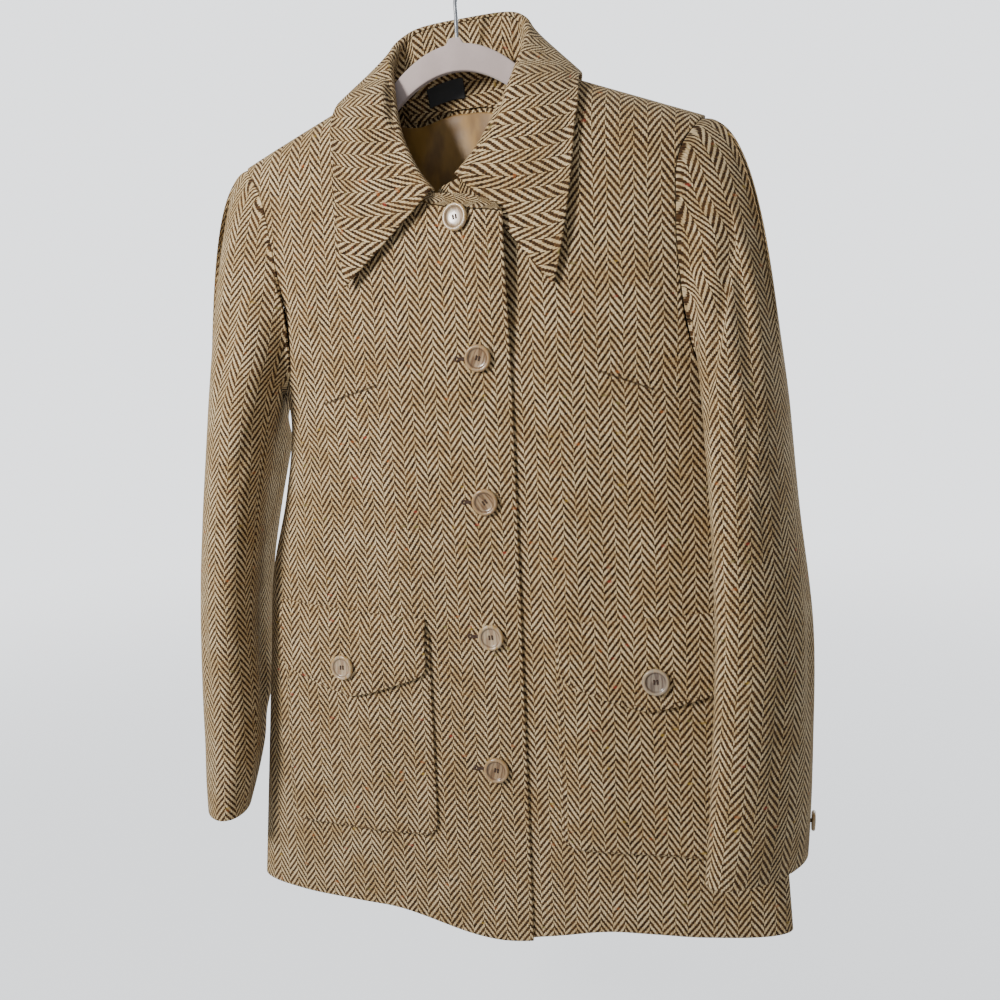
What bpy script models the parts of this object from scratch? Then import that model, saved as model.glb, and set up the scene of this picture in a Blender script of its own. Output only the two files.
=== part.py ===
"""A wool tweed coat that hangs on a slim hanger: the pieces a tailor would cut and sew, the buttons and the hanger.

Metres, +Z up. The fronts face -Y, and +X is the wearer's left. The origin is the inside top of the hook, where a rod
carries it. Every piece of cloth is a wall: a sheet laid out by a function of two shares, then given its thickness.
"""

import math

import bmesh
import bpy
import numpy as np
from mathutils import Matrix, Vector

# Cloth and the gaps between sewn pieces
WALL = 0.0026            # tweed with its interfacing
SKIN = 0.0010            # satin lining and label
SEAM = 0.0003            # between two pieces sewn edge to edge
LAY = 0.0006             # under a piece that lies on a curved panel
CURVED_SEAM = 0.0008     # between two pieces whose edges meet along a curve

# Cut of the coat
SHOULDER_HALF = 0.214    # half the width from shoulder point to shoulder point
NECK_HALF = 0.078        # half the width of the neck hole at the shoulder seams
NECK_POINT_Z = -0.119    # shoulder seam at the neck
SHOULDER_POINT_Z = -0.172
FRONT_NECK_Z = -0.237
BACK_NECK_Z = -0.101
UNDERARM_Z = -0.392
HEM_Z = -0.888
HEM_DIP = 0.020          # the hem hangs lower at the front edges
OVERLAP = 0.0285         # from the button line to each front edge
SQUARENESS = 3.0         # of the body's level section
RIDGE_RISE = 0.045       # height over which the cloth rounds off to the shoulder seam
ROW_DRAW = 0.45          # how much closer the rows of the body's grids lie at the shoulders

# Level sections of the body, hanging flat: half width, depths, and how far its middle lies to the wearer's left
BODY_COLUMNS = ("z", "half_width", "front", "back", "shift")
BODY = (
    (-0.10, 0.240, 0.034, 0.034, -0.002),
    (-0.20, 0.238, 0.037, 0.036, 0.001),
    (-0.26, 0.236, 0.039, 0.036, 0.005),
    (-0.33, 0.220, 0.039, 0.036, 0.011),
    (-0.40, 0.204, 0.039, 0.035, 0.017),
    (-0.49, 0.217, 0.038, 0.034, 0.0195),
    (-0.56, 0.236, 0.037, 0.034, 0.0195),
    (-0.65, 0.246, 0.037, 0.034, 0.0195),
    (-0.76, 0.256, 0.037, 0.034, 0.0180),
    (-0.90, 0.268, 0.037, 0.034, 0.0155),
)
BUTTON_LINE_X = 0.0195                   # the front edges hang plumb, past the button line
FRONT_EDGE_X = BUTTON_LINE_X + OVERLAP

# Edges of the panels, as distances from the middle and heights
EDGE_COLUMNS = ("x", "z")
FRONT_ARMHOLE = (
    (SHOULDER_HALF, SHOULDER_POINT_Z),
    (0.194, -0.200),
    (0.186, -0.250),
    (0.184, -0.300),
    (0.185, -0.345),
    (0.192, -0.377),
    (0.2045, UNDERARM_Z),
)
BACK_ARMHOLE = (
    (SHOULDER_HALF, SHOULDER_POINT_Z),
    (0.200, -0.210),
    (0.192, -0.265),
    (0.188, -0.315),
    (0.189, -0.355),
    (0.195, -0.382),
    (0.2045, UNDERARM_Z),
)
FRONT_NECK = (
    (-OVERLAP, FRONT_NECK_Z - 0.006),
    (0.000, FRONT_NECK_Z),
    (0.030, FRONT_NECK_Z + 0.011),
    (0.056, FRONT_NECK_Z + 0.040),
    (0.072, FRONT_NECK_Z + 0.078),
    (NECK_HALF, NECK_POINT_Z),
)
BACK_NECK = (
    (-NECK_HALF, NECK_POINT_Z),
    (-0.068, NECK_POINT_Z + 0.0024),
    (-0.052, NECK_POINT_Z + 0.0056),
    (0.000, BACK_NECK_Z),
    (0.052, NECK_POINT_Z + 0.0056),
    (0.068, NECK_POINT_Z + 0.0024),
    (NECK_HALF, NECK_POINT_Z),
)

FRONT, BACK = -1, 1
RIGHT, LEFT = -1, 1      # the wearer's


def eased(rows, column, at):
    """A smooth curve through one column of a table, against its first column."""
    knots = np.array([row[0] for row in rows], float)
    values = np.array([row[column] for row in rows], float)
    if knots[0] > knots[-1]:
        knots, values = knots[::-1], values[::-1]
    slopes = np.gradient(values, knots)
    at = min(max(at, knots[0]), knots[-1])
    i = min(int(np.searchsorted(knots, at, side="right")) - 1, len(knots) - 2)
    span = knots[i + 1] - knots[i]
    s = (at - knots[i]) / span
    a, b = values[i], values[i + 1]
    da, db = slopes[i] * span, slopes[i + 1] * span
    return float(a + s * da + s * s * (3 * (b - a) - 2 * da - db) + s ** 3 * (2 * (a - b) + da + db))


def along(points, share):
    """The point at a share of the length of a smooth curve through a few points."""
    points = [np.array(p, float) for p in points]
    steps = [float(np.linalg.norm(b - a)) for a, b in zip(points, points[1:])]
    marks = np.concatenate([[0.0], np.cumsum(steps)]) / sum(steps)
    rows = [(mark, *point) for mark, point in zip(marks, points)]
    return tuple(eased(rows, k + 1, share) for k in range(len(points[0])))


def smoothstep(low, high, value):
    share = min(max((value - low) / (high - low), 0.0), 1.0)
    return share * share * (3 - 2 * share)


def bow(start, end, leave, arrive, share):
    """A curve from start to end that sets off along one vector and comes in along another."""
    s2, s3 = share * share, share ** 3
    return (start * (2 * s3 - 3 * s2 + 1) + leave * (s3 - 2 * s2 + share)
            + end * (3 * s2 - 2 * s3) + arrive * (s3 - s2))


# The body's form

def half_section():
    """Half of a level section: width and depth, as fractions, against the share of its length from the middle."""
    width = np.sin(np.linspace(0, math.pi / 2, 300))
    depth = np.sqrt(np.clip(1 - width ** SQUARENESS, 0, 1))
    steps = np.hypot(np.diff(width) * BODY[-1][1], np.diff(depth) * BODY[-1][2])
    run = np.concatenate([[0.0], np.cumsum(steps)])
    return run / run[-1], width, depth


SECTION_RUN, SECTION_WIDTH, SECTION_DEPTH = half_section()
RIDGE_RUN = math.pi / 2 * math.sqrt((RIDGE_RISE ** 2 + BODY[1][2] ** 2) / 2)


def ridge_z(x):
    """Height of the shoulder seam over a distance from the middle."""
    slope = (SHOULDER_POINT_Z - NECK_POINT_Z) / (SHOULDER_HALF - NECK_HALF)
    return NECK_POINT_Z + slope * (abs(x) - NECK_HALF)


def on_body(face, c, q, lift=0.0):
    """A point of the body's outside, c of the way round to a side seam and q down the cloth from the shoulder."""
    def bare(c, q):
        width = float(np.interp(abs(c), SECTION_RUN, SECTION_WIDTH))
        depth = float(np.interp(abs(c), SECTION_RUN, SECTION_DEPTH))
        turn = min(q / RIDGE_RUN, 1.0) * math.pi / 2
        drop = RIDGE_RISE * (1 - math.cos(turn)) + max(q - RIDGE_RUN, 0.0)
        z = ridge_z(width * BODY[0][1]) - drop
        x = math.copysign(width, c) * eased(BODY, 1, z) + eased(BODY, 4, z)
        y = face * depth * math.sin(turn) * eased(BODY, 2 if face == FRONT else 3, z)
        return Vector((x, y, z))
    point = bare(c, q)
    if lift == 0.0:
        return point
    step_c = 0.004 if c < 0.99 else -0.004
    step_q = 0.001
    across = (bare(c + step_c, q) - point) / step_c
    down = (bare(c, q + step_q) - point) / step_q
    normal = across.cross(down).normalized() * face
    return point + normal * lift


def to_sheet(x, z):
    """The shares c and q of the place at a distance x from the middle and a height z."""
    width = min(abs(x) / eased(BODY, 1, z), 1.0)
    c = math.copysign(float(np.interp(width, SECTION_WIDTH, SECTION_RUN)), x)
    drop = max(ridge_z(width * BODY[0][1]) - z, 0.0)
    if drop < RIDGE_RISE:
        return c, RIDGE_RUN * math.acos(1 - drop / RIDGE_RISE) / (math.pi / 2)
    return c, RIDGE_RUN + drop - RIDGE_RISE


def place(x, z):
    """As to_sheet, for a real x."""
    return to_sheet(x - eased(BODY, 4, z), z)


def hem_z(x):
    """The hem is level, and dips to the front edges."""
    return HEM_Z - HEM_DIP * (1 - smoothstep(0.0, 0.120, abs(x)))


def patch(low, high, start, end):
    """Fills four edges: low and high run across, start and end run up. All are functions of a share."""
    def at(s, t):
        low_s, high_s = np.array(low(s)), np.array(high(s))
        start_t, end_t = np.array(start(t)), np.array(end(t))
        corners = ((1 - s) * (1 - t) * np.array(low(0)) + s * (1 - t) * np.array(low(1))
                   + (1 - s) * t * np.array(high(0)) + s * t * np.array(high(1)))
        return (1 - t) * low_s + t * high_s + (1 - s) * start_t + s * end_t - corners
    return at


def closer_up(t):
    """Draws the rows of a grid closer together towards the shoulders."""
    return t + ROW_DRAW * t * (1 - t)


# Making a solid

def material(name, colour, roughness, metallic=0.0):
    """A Principled BSDF with one colour."""
    made = bpy.data.materials.get(name)
    if made is None:
        made = bpy.data.materials.new(name)
        made.use_nodes = True
        shader = made.node_tree.nodes["Principled BSDF"]
        shader.inputs["Base Color"].default_value = (*colour, 1.0)
        shader.inputs["Roughness"].default_value = roughness
        shader.inputs["Metallic"].default_value = metallic
    return made


def tweed():
    return material("tweed", (0.30, 0.22, 0.14), 0.95)


def satin():
    return material("satin", (0.36, 0.22, 0.06), 0.45)


def horn():
    return material("horn", (0.55, 0.42, 0.27), 0.30)


def new_object(name, bm, finish):
    """Puts a bmesh in the scene as an object with one material."""
    mesh = bpy.data.meshes.new(name)
    bm.to_mesh(mesh)
    bm.free()
    mesh.materials.append(finish)
    mesh.shade_smooth()
    mesh.set_sharp_from_angle(angle=math.radians(50))
    obj = bpy.data.objects.new(name, mesh)
    bpy.context.scene.collection.objects.link(obj)
    return obj


def cloth(name, outer, inner, across, up, finish):
    """A wall between two sheets outer(s, t) and inner(s, t), with lists of shares across and up."""
    across = np.linspace(0, 1, across + 1) if isinstance(across, int) else across
    up = np.linspace(0, 1, up + 1) if isinstance(up, int) else up
    bm = bmesh.new()
    layers = [[[bm.verts.new(sheet(s, t)) for s in across] for t in up] for sheet in (outer, inner)]
    out, back = layers
    last_row, last_column = len(up) - 1, len(across) - 1
    for j in range(last_row):
        for i in range(last_column):
            bm.faces.new((out[j][i], out[j][i + 1], out[j + 1][i + 1], out[j + 1][i]))
            bm.faces.new((back[j][i], back[j + 1][i], back[j + 1][i + 1], back[j][i + 1]))
        for i, (first, second) in ((0, (j + 1, j)), (last_column, (j, j + 1))):
            bm.faces.new((out[first][i], back[first][i], back[second][i], out[second][i])[::-1])
    for i in range(last_column):
        for j, (first, second) in ((0, (i, i + 1)), (last_row, (i + 1, i))):
            bm.faces.new((out[j][first], back[j][first], back[j][second], out[j][second])[::-1])
    bmesh.ops.recalc_face_normals(bm, faces=bm.faces)
    return new_object(name, bm, finish)


def facing(surface, s, t, step=0.002):
    """The way a sheet faces at a place."""
    s0, s1 = max(s - step, 0.0), min(s + step, 1.0)
    t0, t1 = max(t - step, 0.0), min(t + step, 1.0)
    return (surface(s1, t) - surface(s0, t)).cross(surface(s, t1) - surface(s, t0)).normalized()


def under(surface, wall):
    """The other side of a sheet with a wall."""
    return lambda s, t: surface(s, t) - facing(surface, s, t) * wall


def between(surface, columns, rows, s, t):
    """A point on the flat facets of a sheet made as a grid of some columns and rows."""
    i, j = min(int(s * columns), columns - 1), min(int(t * rows), rows - 1)
    u, v = s * columns - i, t * rows - j
    low = surface(i / columns, j / rows).lerp(surface((i + 1) / columns, j / rows), u)
    high = surface(i / columns, (j + 1) / rows).lerp(surface((i + 1) / columns, (j + 1) / rows), u)
    return low.lerp(high, v)


# Fronts and back

def front_lift(side, x, z):
    """The left front lies in under the right one, whose top corner is raised by the collar beneath it."""
    if side == LEFT:
        return -(WALL + SEAM + 0.0002) * (1 - smoothstep(FRONT_EDGE_X + 0.004, FRONT_EDGE_X + 0.045, x))
    top = smoothstep(-0.400, -0.255, z)
    return 0.0095 * top * smoothstep(-0.030, FRONT_EDGE_X - 0.012, x)


def front_point(side, x, z, lift=0.0):
    """A point on a front at a real x and a height, raised off the cloth by lift."""
    c, q = place(x, z)
    point = on_body(FRONT, c, q, front_lift(side, x, z) + lift)
    point.y = min(point.y, 0.0) - SEAM / 2
    return point


FRONT_ACROSS, FRONT_UP = 16, 28
NECK_COLUMNS = 10            # of a front's columns, those that its neck edge takes


def front_shape(side, lift=0.0):
    """One side of a front's cloth, from its free edge to the side seam and the armhole."""
    reach = UNDERARM_Z - HEM_Z
    bend = reach / (reach + 0.26)

    def outer(t):
        if t < bend:
            z = HEM_Z + (UNDERARM_Z - HEM_Z) * t / bend
            return to_sheet(eased(BODY, 1, z), z)
        return to_sheet(*along(FRONT_ARMHOLE[::-1], (t - bend) / (1 - bend)))

    def free_x(z):
        """Distance of the free edge past the middle: the right one hangs plumb, the left one lies as far under."""
        middle = eased(BODY, 4, z)
        return middle - FRONT_EDGE_X if side == RIGHT else BUTTON_LINE_X - OVERLAP - middle

    def inner(t):
        z = hem_z(0) + (FRONT_NECK[0][1] - hem_z(0)) * t
        return to_sheet(free_x(z), z)

    def low(s):
        start = free_x(HEM_Z)
        x = start + s * (eased(BODY, 1, HEM_Z) - start)
        return to_sheet(x, hem_z(x))

    def high(s):
        neck = NECK_COLUMNS / FRONT_ACROSS
        if s >= neck:
            x = NECK_HALF + (SHOULDER_HALF - NECK_HALF) * (s - neck) / (1 - neck)
            return to_sheet(x, ridge_z(x))
        x, z = along(FRONT_NECK, s / neck)
        pull = (free_x(FRONT_NECK[0][1]) + OVERLAP) * (1 - smoothstep(-OVERLAP, 0.030, x))
        return to_sheet(x + pull, z)

    net = patch(low, high, inner, outer)

    def shape(s, t):
        c, q = net(s, closer_up(t))
        c, q = side * min(c, 1.0), max(q, 0.0)
        flat = on_body(FRONT, c, q)
        point = on_body(FRONT, c, q, front_lift(side, flat.x, flat.z) + lift)
        point.y = min(point.y, 0.0) - SEAM / 2
        return point
    return shape


BACK_ACROSS, BACK_UP = 20, 24
YOKE = 6 / BACK_ACROSS       # share of the back's top edge that one shoulder takes


def back_shape(s, t, lift=0.0):
    """The back's cloth, from one side seam and armhole to the other, raised by lift."""
    reach = UNDERARM_Z - HEM_Z
    bend = reach / (reach + 0.25)

    def end(t):
        if t < bend:
            z = HEM_Z + (UNDERARM_Z - HEM_Z) * t / bend
            return to_sheet(eased(BODY, 1, z), z)
        return to_sheet(*along(BACK_ARMHOLE[::-1], (t - bend) / (1 - bend)))

    def start(t):
        c, q = end(t)
        return -c, q

    def low(s):
        return to_sheet((2 * s - 1) * eased(BODY, 1, HEM_Z), HEM_Z)

    def high(s):
        if YOKE <= s <= 1 - YOKE:
            return to_sheet(*along(BACK_NECK, (s - YOKE) / (1 - 2 * YOKE)))
        share = min(s, 1 - s) / YOKE
        x = SHOULDER_HALF + (NECK_HALF - SHOULDER_HALF) * share
        c, q = to_sheet(x, ridge_z(x))
        return math.copysign(c, s - 0.5), q

    c, q = patch(low, high, start, end)(s, closer_up(t))
    point = on_body(BACK, min(max(c, -1.0), 1.0), max(q, 0.0), lift)
    point.y = max(point.y, 0.0) + SEAM / 2
    return point


def build_body():
    for side, word in ((RIGHT, "right"), (LEFT, "left")):
        cloth(f"front_{word}", front_shape(side), front_shape(side, -WALL), FRONT_ACROSS, FRONT_UP, tweed())
    cloth("back", back_shape, lambda s, t: back_shape(s, t, -WALL), BACK_ACROSS, BACK_UP, tweed())


FACING_WALL = 0.0015
FACING_FOOT = 1 - 0.85 / BACK_UP
INSIDE = WALL + 0.0018           # depth of what lies inside the back


def on_back(depth):
    """The back's facets, moved in."""
    return lambda s, t: between(lambda s, t: back_shape(s, t, -depth), BACK_ACROSS, BACK_UP, s, t)


def build_inside():
    """The back neck facing, the back's satin lining and the bare label, on the back's own facets moved in."""
    first = round(YOKE * BACK_ACROSS) + 1
    columns = [i / BACK_ACROSS for i in range(first, BACK_ACROSS - first + 1)]
    rows = [FACING_FOOT, 1 - 0.40 / BACK_UP, 1.0]
    cloth("back_facing", on_back(INSIDE), on_back(INSIDE + FACING_WALL), columns, rows, tweed())

    columns = [i / BACK_ACROSS for i in range(2, BACK_ACROSS - 1, 2)]
    rows = [j / BACK_UP for j in (0.6, *range(2, BACK_UP - 1, 2))] + [FACING_FOOT - 0.20 / BACK_UP]
    cloth("back_lining", on_back(INSIDE + LAY), on_back(INSIDE + LAY + SKIN), columns, rows, satin())

    depth = INSIDE + FACING_WALL + LAY
    columns = [0.405, 0.450, 0.495]
    rows = [1 - 0.50 / BACK_UP, 1 - 0.06 / BACK_UP]
    cloth("label", on_back(depth), on_back(depth + SKIN), columns, rows, material("label", (0.02, 0.02, 0.02), 0.6))


# Sleeves

SLEEVE_COLUMNS = ("z", "x", "y", "half_thick", "half_wide", "turn", "tilt")
SLEEVES = {
    RIGHT: (
        (-0.425, -0.235, -0.006, 0.036, 0.057, 20, 0.00),
        (-0.500, -0.249, -0.008, 0.033, 0.058, 23, 0.02),
        (-0.600, -0.262, -0.011, 0.030, 0.057, 25, 0.04),
        (-0.700, -0.266, -0.013, 0.031, 0.056, 27, 0.06),
        (-0.740, -0.268, -0.014, 0.030, 0.056, 28, 0.08),
        (-0.775, -0.2735, -0.015, 0.0265, 0.055, 28, 0.09),
        (-0.810, -0.2795, -0.016, 0.0215, 0.054, 28, 0.10),
    ),
    LEFT: (
        (-0.425, 0.246, -0.014, 0.031, 0.056, 22, 0.00),
        (-0.500, 0.252, -0.028, 0.029, 0.058, 25, 0.00),
        (-0.600, 0.259, -0.045, 0.030, 0.057, 32, 0.00),
        (-0.700, 0.257, -0.054, 0.029, 0.057, 36, 0.00),
        (-0.770, 0.254, -0.058, 0.027, 0.057, 39, 0.00),
        (-0.800, 0.252, -0.059, 0.025, 0.057, 41, 0.00),
    ),
}
HEAD = 0.38              # share of a sleeve's rows that its head takes
HEAD_FULLNESS = {RIGHT: 0.55, LEFT: 0.62}

# Soft folds of the sleeves: which sleeve, where round it, its middle height, half height, half width and depth
FOLD_COLUMNS = ("side", "turn", "z", "half_height", "half_turn", "depth")
FOLDS = (
    (LEFT, 0.13, -0.330, 0.120, 0.045, 0.0070),
    (LEFT, 0.24, -0.470, 0.080, 0.040, 0.0030),
    (RIGHT, 0.17, -0.330, 0.090, 0.050, 0.0035),
    (LEFT, 0.80, -0.350, 0.100, 0.050, 0.0050),
    (RIGHT, 0.82, -0.340, 0.100, 0.050, 0.0050),
    (RIGHT, 0.90, -0.600, 0.080, 0.050, 0.0030),
    (LEFT, 0.92, -0.620, 0.090, 0.050, 0.0035),
)


def armhole_point(side, turn):
    """A point of the armhole edge and the way the body's cloth runs there, 0 at the shoulder and 0.5 underarm."""
    face = FRONT if turn <= 0.5 else BACK
    share = turn * 2 if face == FRONT else (1 - turn) * 2
    x, z = along(FRONT_ARMHOLE if face == FRONT else BACK_ARMHOLE, share)
    c, q = to_sheet(x, z)
    point = on_body(face, side * c, q)
    down = smoothstep(0.55, 1.0, share)
    c, q = to_sheet(x - 0.006 * (1 - down), z - 0.006 * down)
    return point, (point - on_body(face, side * c, q)).normalized()


def clear_of_side(point, gap):
    """Moves a point of a sleeve level until it lies at least gap off the body's side."""
    width = eased(BODY, 1, point.z) + gap
    depth = eased(BODY, 2 if point.y < 0 else 3, point.z) + gap
    middle = eased(BODY, 4, point.z)
    x, y = abs(point.x - middle), abs(point.y)
    for _ in range(4):
        short = 1 - (x / width) ** SQUARENESS - (y / depth) ** SQUARENESS
        if short <= 0:
            break
        slope_x = SQUARENESS * x ** (SQUARENESS - 1) / width ** SQUARENESS
        slope_y = SQUARENESS * y ** (SQUARENESS - 1) / depth ** SQUARENESS
        step = short / (slope_x ** 2 + slope_y ** 2)
        x, y = x + slope_x * step, y + slope_y * step
    return Vector((middle + math.copysign(x, point.x - middle), math.copysign(y, point.y), point.z))


def sleeve_gap(z):
    """How far a sleeve keeps off the body: more where it passes the flap and the pocket."""
    flap = smoothstep(-0.560, -0.585, z) * (1 - smoothstep(-0.685, -0.715, z))
    pocket = smoothstep(-0.560, -0.585, z) * (1 - smoothstep(-0.815, -0.835, z))
    return 0.0028 + 0.0034 * pocket + 0.0036 * flap


def sleeve_ring(side, z, turn):
    """A point of a section of the sleeve: 0 is its outer side, 0.25 the front, 0.5 the side by the body."""
    x, y, thick, wide, twist, tilt = (eased(SLEEVES[side], k, z) for k in range(1, 7))
    angle = turn * 2 * math.pi
    local = Vector((side * math.cos(angle) * thick, -math.sin(angle) * wide, math.sin(angle) * wide * tilt))
    return Vector((x, y, z)) + Matrix.Rotation(-side * math.radians(twist), 3, "Z") @ local


def sleeve_point(side, turn, down):
    """A point of the sleeve's outside: down 0 at the armhole, 1 at the cuff."""
    turn = turn % 1.0
    rows = SLEEVES[side]
    top, cuff = rows[0][0], rows[-1][0]
    if down > HEAD:
        z = top + (cuff - top) * (down - HEAD) / (1 - HEAD)
        point = sleeve_ring(side, z, turn)
    else:
        share = down / HEAD
        seam, leave = armhole_point(side, turn)
        start = seam + leave * (CURVED_SEAM + 0.0018 * smoothstep(0.22, 0.08, abs(turn - 0.5)))
        end = sleeve_ring(side, top, turn)
        span = (end - start).length
        fall = (sleeve_ring(side, top - 0.02, turn) - end).normalized() * span
        full = HEAD_FULLNESS[side] * (1 - 0.6 * math.sin(math.pi * turn) ** 8)
        point = bow(start, end, leave * span * full, fall, share)
    middle = Vector((eased(rows, 1, point.z), eased(rows, 2, point.z), point.z))
    inward = (middle - point).normalized()
    for fold_side, fold_turn, z, half_height, half_turn, depth in FOLDS:
        apart = abs((turn - fold_turn + 0.5) % 1.0 - 0.5) / half_turn
        high = abs(point.z - z) / half_height
        if fold_side == side and apart < 1 and high < 1:
            point += inward * depth * (1 - apart ** 2) ** 2 * (1 - high ** 2) ** 2
    near = smoothstep(-0.372, -0.390, point.z) * min(down / 0.04, 1.0)
    return point.lerp(clear_of_side(point, sleeve_gap(point.z)), near)


def sleeve_inside(side, turn, down):
    """A point of the sleeve's inner side."""
    step = 0.003
    up, low = max(down - step, 0.0), min(down + step, 1.0)
    round_it = sleeve_point(side, turn + step, down) - sleeve_point(side, turn - step, down)
    along_it = sleeve_point(side, turn, low) - sleeve_point(side, turn, up)
    return sleeve_point(side, turn, down) - round_it.cross(along_it).normalized() * WALL * side


SLEEVE_ROWS = 22
FRONT_SEAM, BACK_SEAM = 0.38, 0.73       # the under sleeve lies between these turns


def build_sleeves():
    """Each sleeve has a wide top piece and a narrow under piece, 0.3 mm apart along their two seams."""
    seam = 0.0013        # as a share of the way round
    for side, word in ((RIGHT, "right"), (LEFT, "left")):
        for piece, low, high, across in (("top", BACK_SEAM - 1 + seam, FRONT_SEAM - seam, 11),
                                         ("under", FRONT_SEAM + seam, BACK_SEAM - seam, 6)):
            def shape(s, t, side=side, low=low, high=high):
                turn = low + (high - low) * (s if side == RIGHT else 1 - s)
                return sleeve_point(side, turn, 1 - t)

            def inside(s, t, side=side, low=low, high=high):
                turn = low + (high - low) * (s if side == RIGHT else 1 - s)
                return sleeve_inside(side, turn, 1 - t)
            cloth(f"sleeve_{piece}_{word}", shape, inside, across, SLEEVE_ROWS, tweed())


# Collar

COLLAR_COLUMNS = ("share", "top_x", "top_y", "top_z", "edge_x", "edge_run", "edge_lift")
# Round the neck from the wearer's right: the top of the roll, and the free edge as a real x and its run down the
# front (plus) or the back (minus) from the shoulder
COLLAR = (
    (0.00, -0.0120, -0.0480, -0.2190, -0.1010, 0.183, 0.0105),
    (0.09, -0.0270, -0.0440, -0.1990, -0.1045, 0.148, 0.0095),
    (0.18, -0.0430, -0.0340, -0.1660, -0.1060, 0.111, 0.0085),
    (0.27, -0.0530, -0.0190, -0.1270, -0.1070, 0.073, 0.0075),
    (0.35, -0.0600, 0.0020, -0.0880, -0.1080, 0.033, 0.0065),
    (0.42, -0.0520, 0.0230, -0.0630, -0.0950, -0.031, 0.0065),
    (0.50, 0.0000, 0.0345, -0.0540, 0.0000, -0.060, 0.0065),
    (0.58, 0.0520, 0.0230, -0.0610, 0.0970, -0.031, 0.0065),
    (0.65, 0.0600, 0.0020, -0.0890, 0.1110, 0.033, 0.0065),
    (0.73, 0.0520, -0.0170, -0.1270, 0.1090, 0.073, 0.0075),
    (0.82, 0.0390, -0.0290, -0.1580, 0.1050, 0.116, 0.0085),
    (0.91, 0.0220, -0.0350, -0.1870, 0.0985, 0.160, 0.0085),
    (1.00, 0.0040, -0.0375, -0.2060, 0.0890, 0.204, 0.0055),
)
# The neckband runs on past the collar's ends: the top of its two free ends
BAND_RIGHT_END = (-0.130, 0.0440, -0.0480, -0.2345)
BAND_RIGHT_MIDDLE = (-0.060, 0.0160, -0.0490, -0.2260)
BAND_LEFT_END = (1.055, -0.0140, -0.0365, -0.2170)
NECK_SHARE = 0.33        # share of the collar that each front neck edge carries
ROLL = 0.0044            # radius of the roll's outside
BAND_HOLLOW = 0.0015     # how far the band bends in to leave the fall room
ROLL_ROWS, FALL_ROWS = 4, 5


def neck_edge(share, lift=0.0):
    """A point of the panels' neck edge, for the collar's share from the wearer's right, raised by lift."""
    if NECK_SHARE <= share <= 1 - NECK_SHARE:
        s = YOKE + (1 - 2 * YOKE) * (share - NECK_SHARE) / (1 - 2 * NECK_SHARE)
        return between(lambda s, t: back_shape(s, t, lift), BACK_ACROSS, BACK_UP, s, 1.0)
    side = RIGHT if share < 0.5 else LEFT
    low = BAND_RIGHT_END[0] if side == RIGHT else BAND_LEFT_END[0]
    along_neck = (share - low) / (NECK_SHARE - low) if side == RIGHT else (low - share) / (low - 1 + NECK_SHARE)
    return between(front_shape(side, lift), FRONT_ACROSS, FRONT_UP, along_neck * NECK_COLUMNS / FRONT_ACROSS, 1.0)


def roll_frame(share):
    """At a share of the collar: the middle of the roll, and the ways up and out of it."""
    top = Vector([eased(COLLAR, k, share) for k in (1, 2, 3)])
    nearby = Vector([eased(COLLAR, k, share + (0.01 if share < 0.5 else -0.01)) for k in (1, 2, 3)])
    run = (nearby - top).normalized() * (1 if share < 0.5 else -1)
    edge = collar_edge(share)
    base = neck_edge(share)
    down_fall = ((edge - top) - run * (edge - top).dot(run)).normalized()
    down_stand = ((base - top) - run * (base - top).dot(run)).normalized()
    up = -(down_fall + down_stand)
    up = up.normalized() if up.length > 0.2 else Vector((0, 0, 1))
    return top - up * ROLL, up, up.cross(run).normalized()


def collar_edge(share):
    """The collar's free edge, laid over the body."""
    x, run, lift = (eased(COLLAR, k, share) for k in (4, 5, 6))
    face = FRONT if run > 0 else BACK
    width = abs(x) / BODY[0][1]
    c = math.copysign(float(np.interp(width, SECTION_WIDTH, SECTION_RUN)), x)
    point = on_body(face, c, abs(run))
    c = place(x, point.z)[0]
    return on_body(face, c, abs(run), lift)


def clear_of_body(point, lift):
    """Moves a point out until it lies at least lift off the body's outside."""
    x = point.x - eased(BODY, 4, point.z)
    width = min(abs(x) / eased(BODY, 1, point.z), 1.0)
    depth = float(np.interp(width, SECTION_WIDTH, SECTION_DEPTH)) * eased(BODY, 2 if point.y < 0 else 3, point.z)
    middle_z = ridge_z(x) - RIDGE_RISE
    if point.z < middle_z:
        return Vector((point.x, math.copysign(max(abs(point.y), depth + lift), point.y), point.z))
    reach = math.hypot(point.y / (depth + lift), (point.z - middle_z) / (RIDGE_RISE + lift))
    if reach >= 1.0:
        return point
    return Vector((point.x, point.y / reach, middle_z + (point.z - middle_z) / reach))


def fall_shape(s, t):
    """The collar's fall: over the roll from the top of the band, then down to the free edge."""
    middle, up, out = roll_frame(s)
    row = t * (ROLL_ROWS + FALL_ROWS)
    turn = min(row / ROLL_ROWS, 1.0) * math.pi
    point = middle + (-out * math.cos(turn) + up * math.sin(turn)) * ROLL
    if row <= ROLL_ROWS:
        return point
    share = (row - ROLL_ROWS) / FALL_ROWS
    edge = collar_edge(s)
    span = (edge - point).length
    laid = bow(point, edge, -up * span * 0.55, (edge - point).normalized() * span * 0.8, share)
    beneath = smoothstep(0.86, 0.98, s)      # where it goes in under the right front
    return clear_of_body(laid, 0.0036 - 0.0028 * beneath + 0.004 * (1 - 0.7 * beneath) * math.sin(math.pi * share))


def fall_inside(s, t):
    row = t * (ROLL_ROWS + FALL_ROWS)
    if row > ROLL_ROWS:
        return under(fall_shape, WALL)(s, t)
    middle, up, out = roll_frame(s)
    turn = row / ROLL_ROWS * math.pi
    return middle + (-out * math.cos(turn) + up * math.sin(turn)) * (ROLL - WALL)


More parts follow.
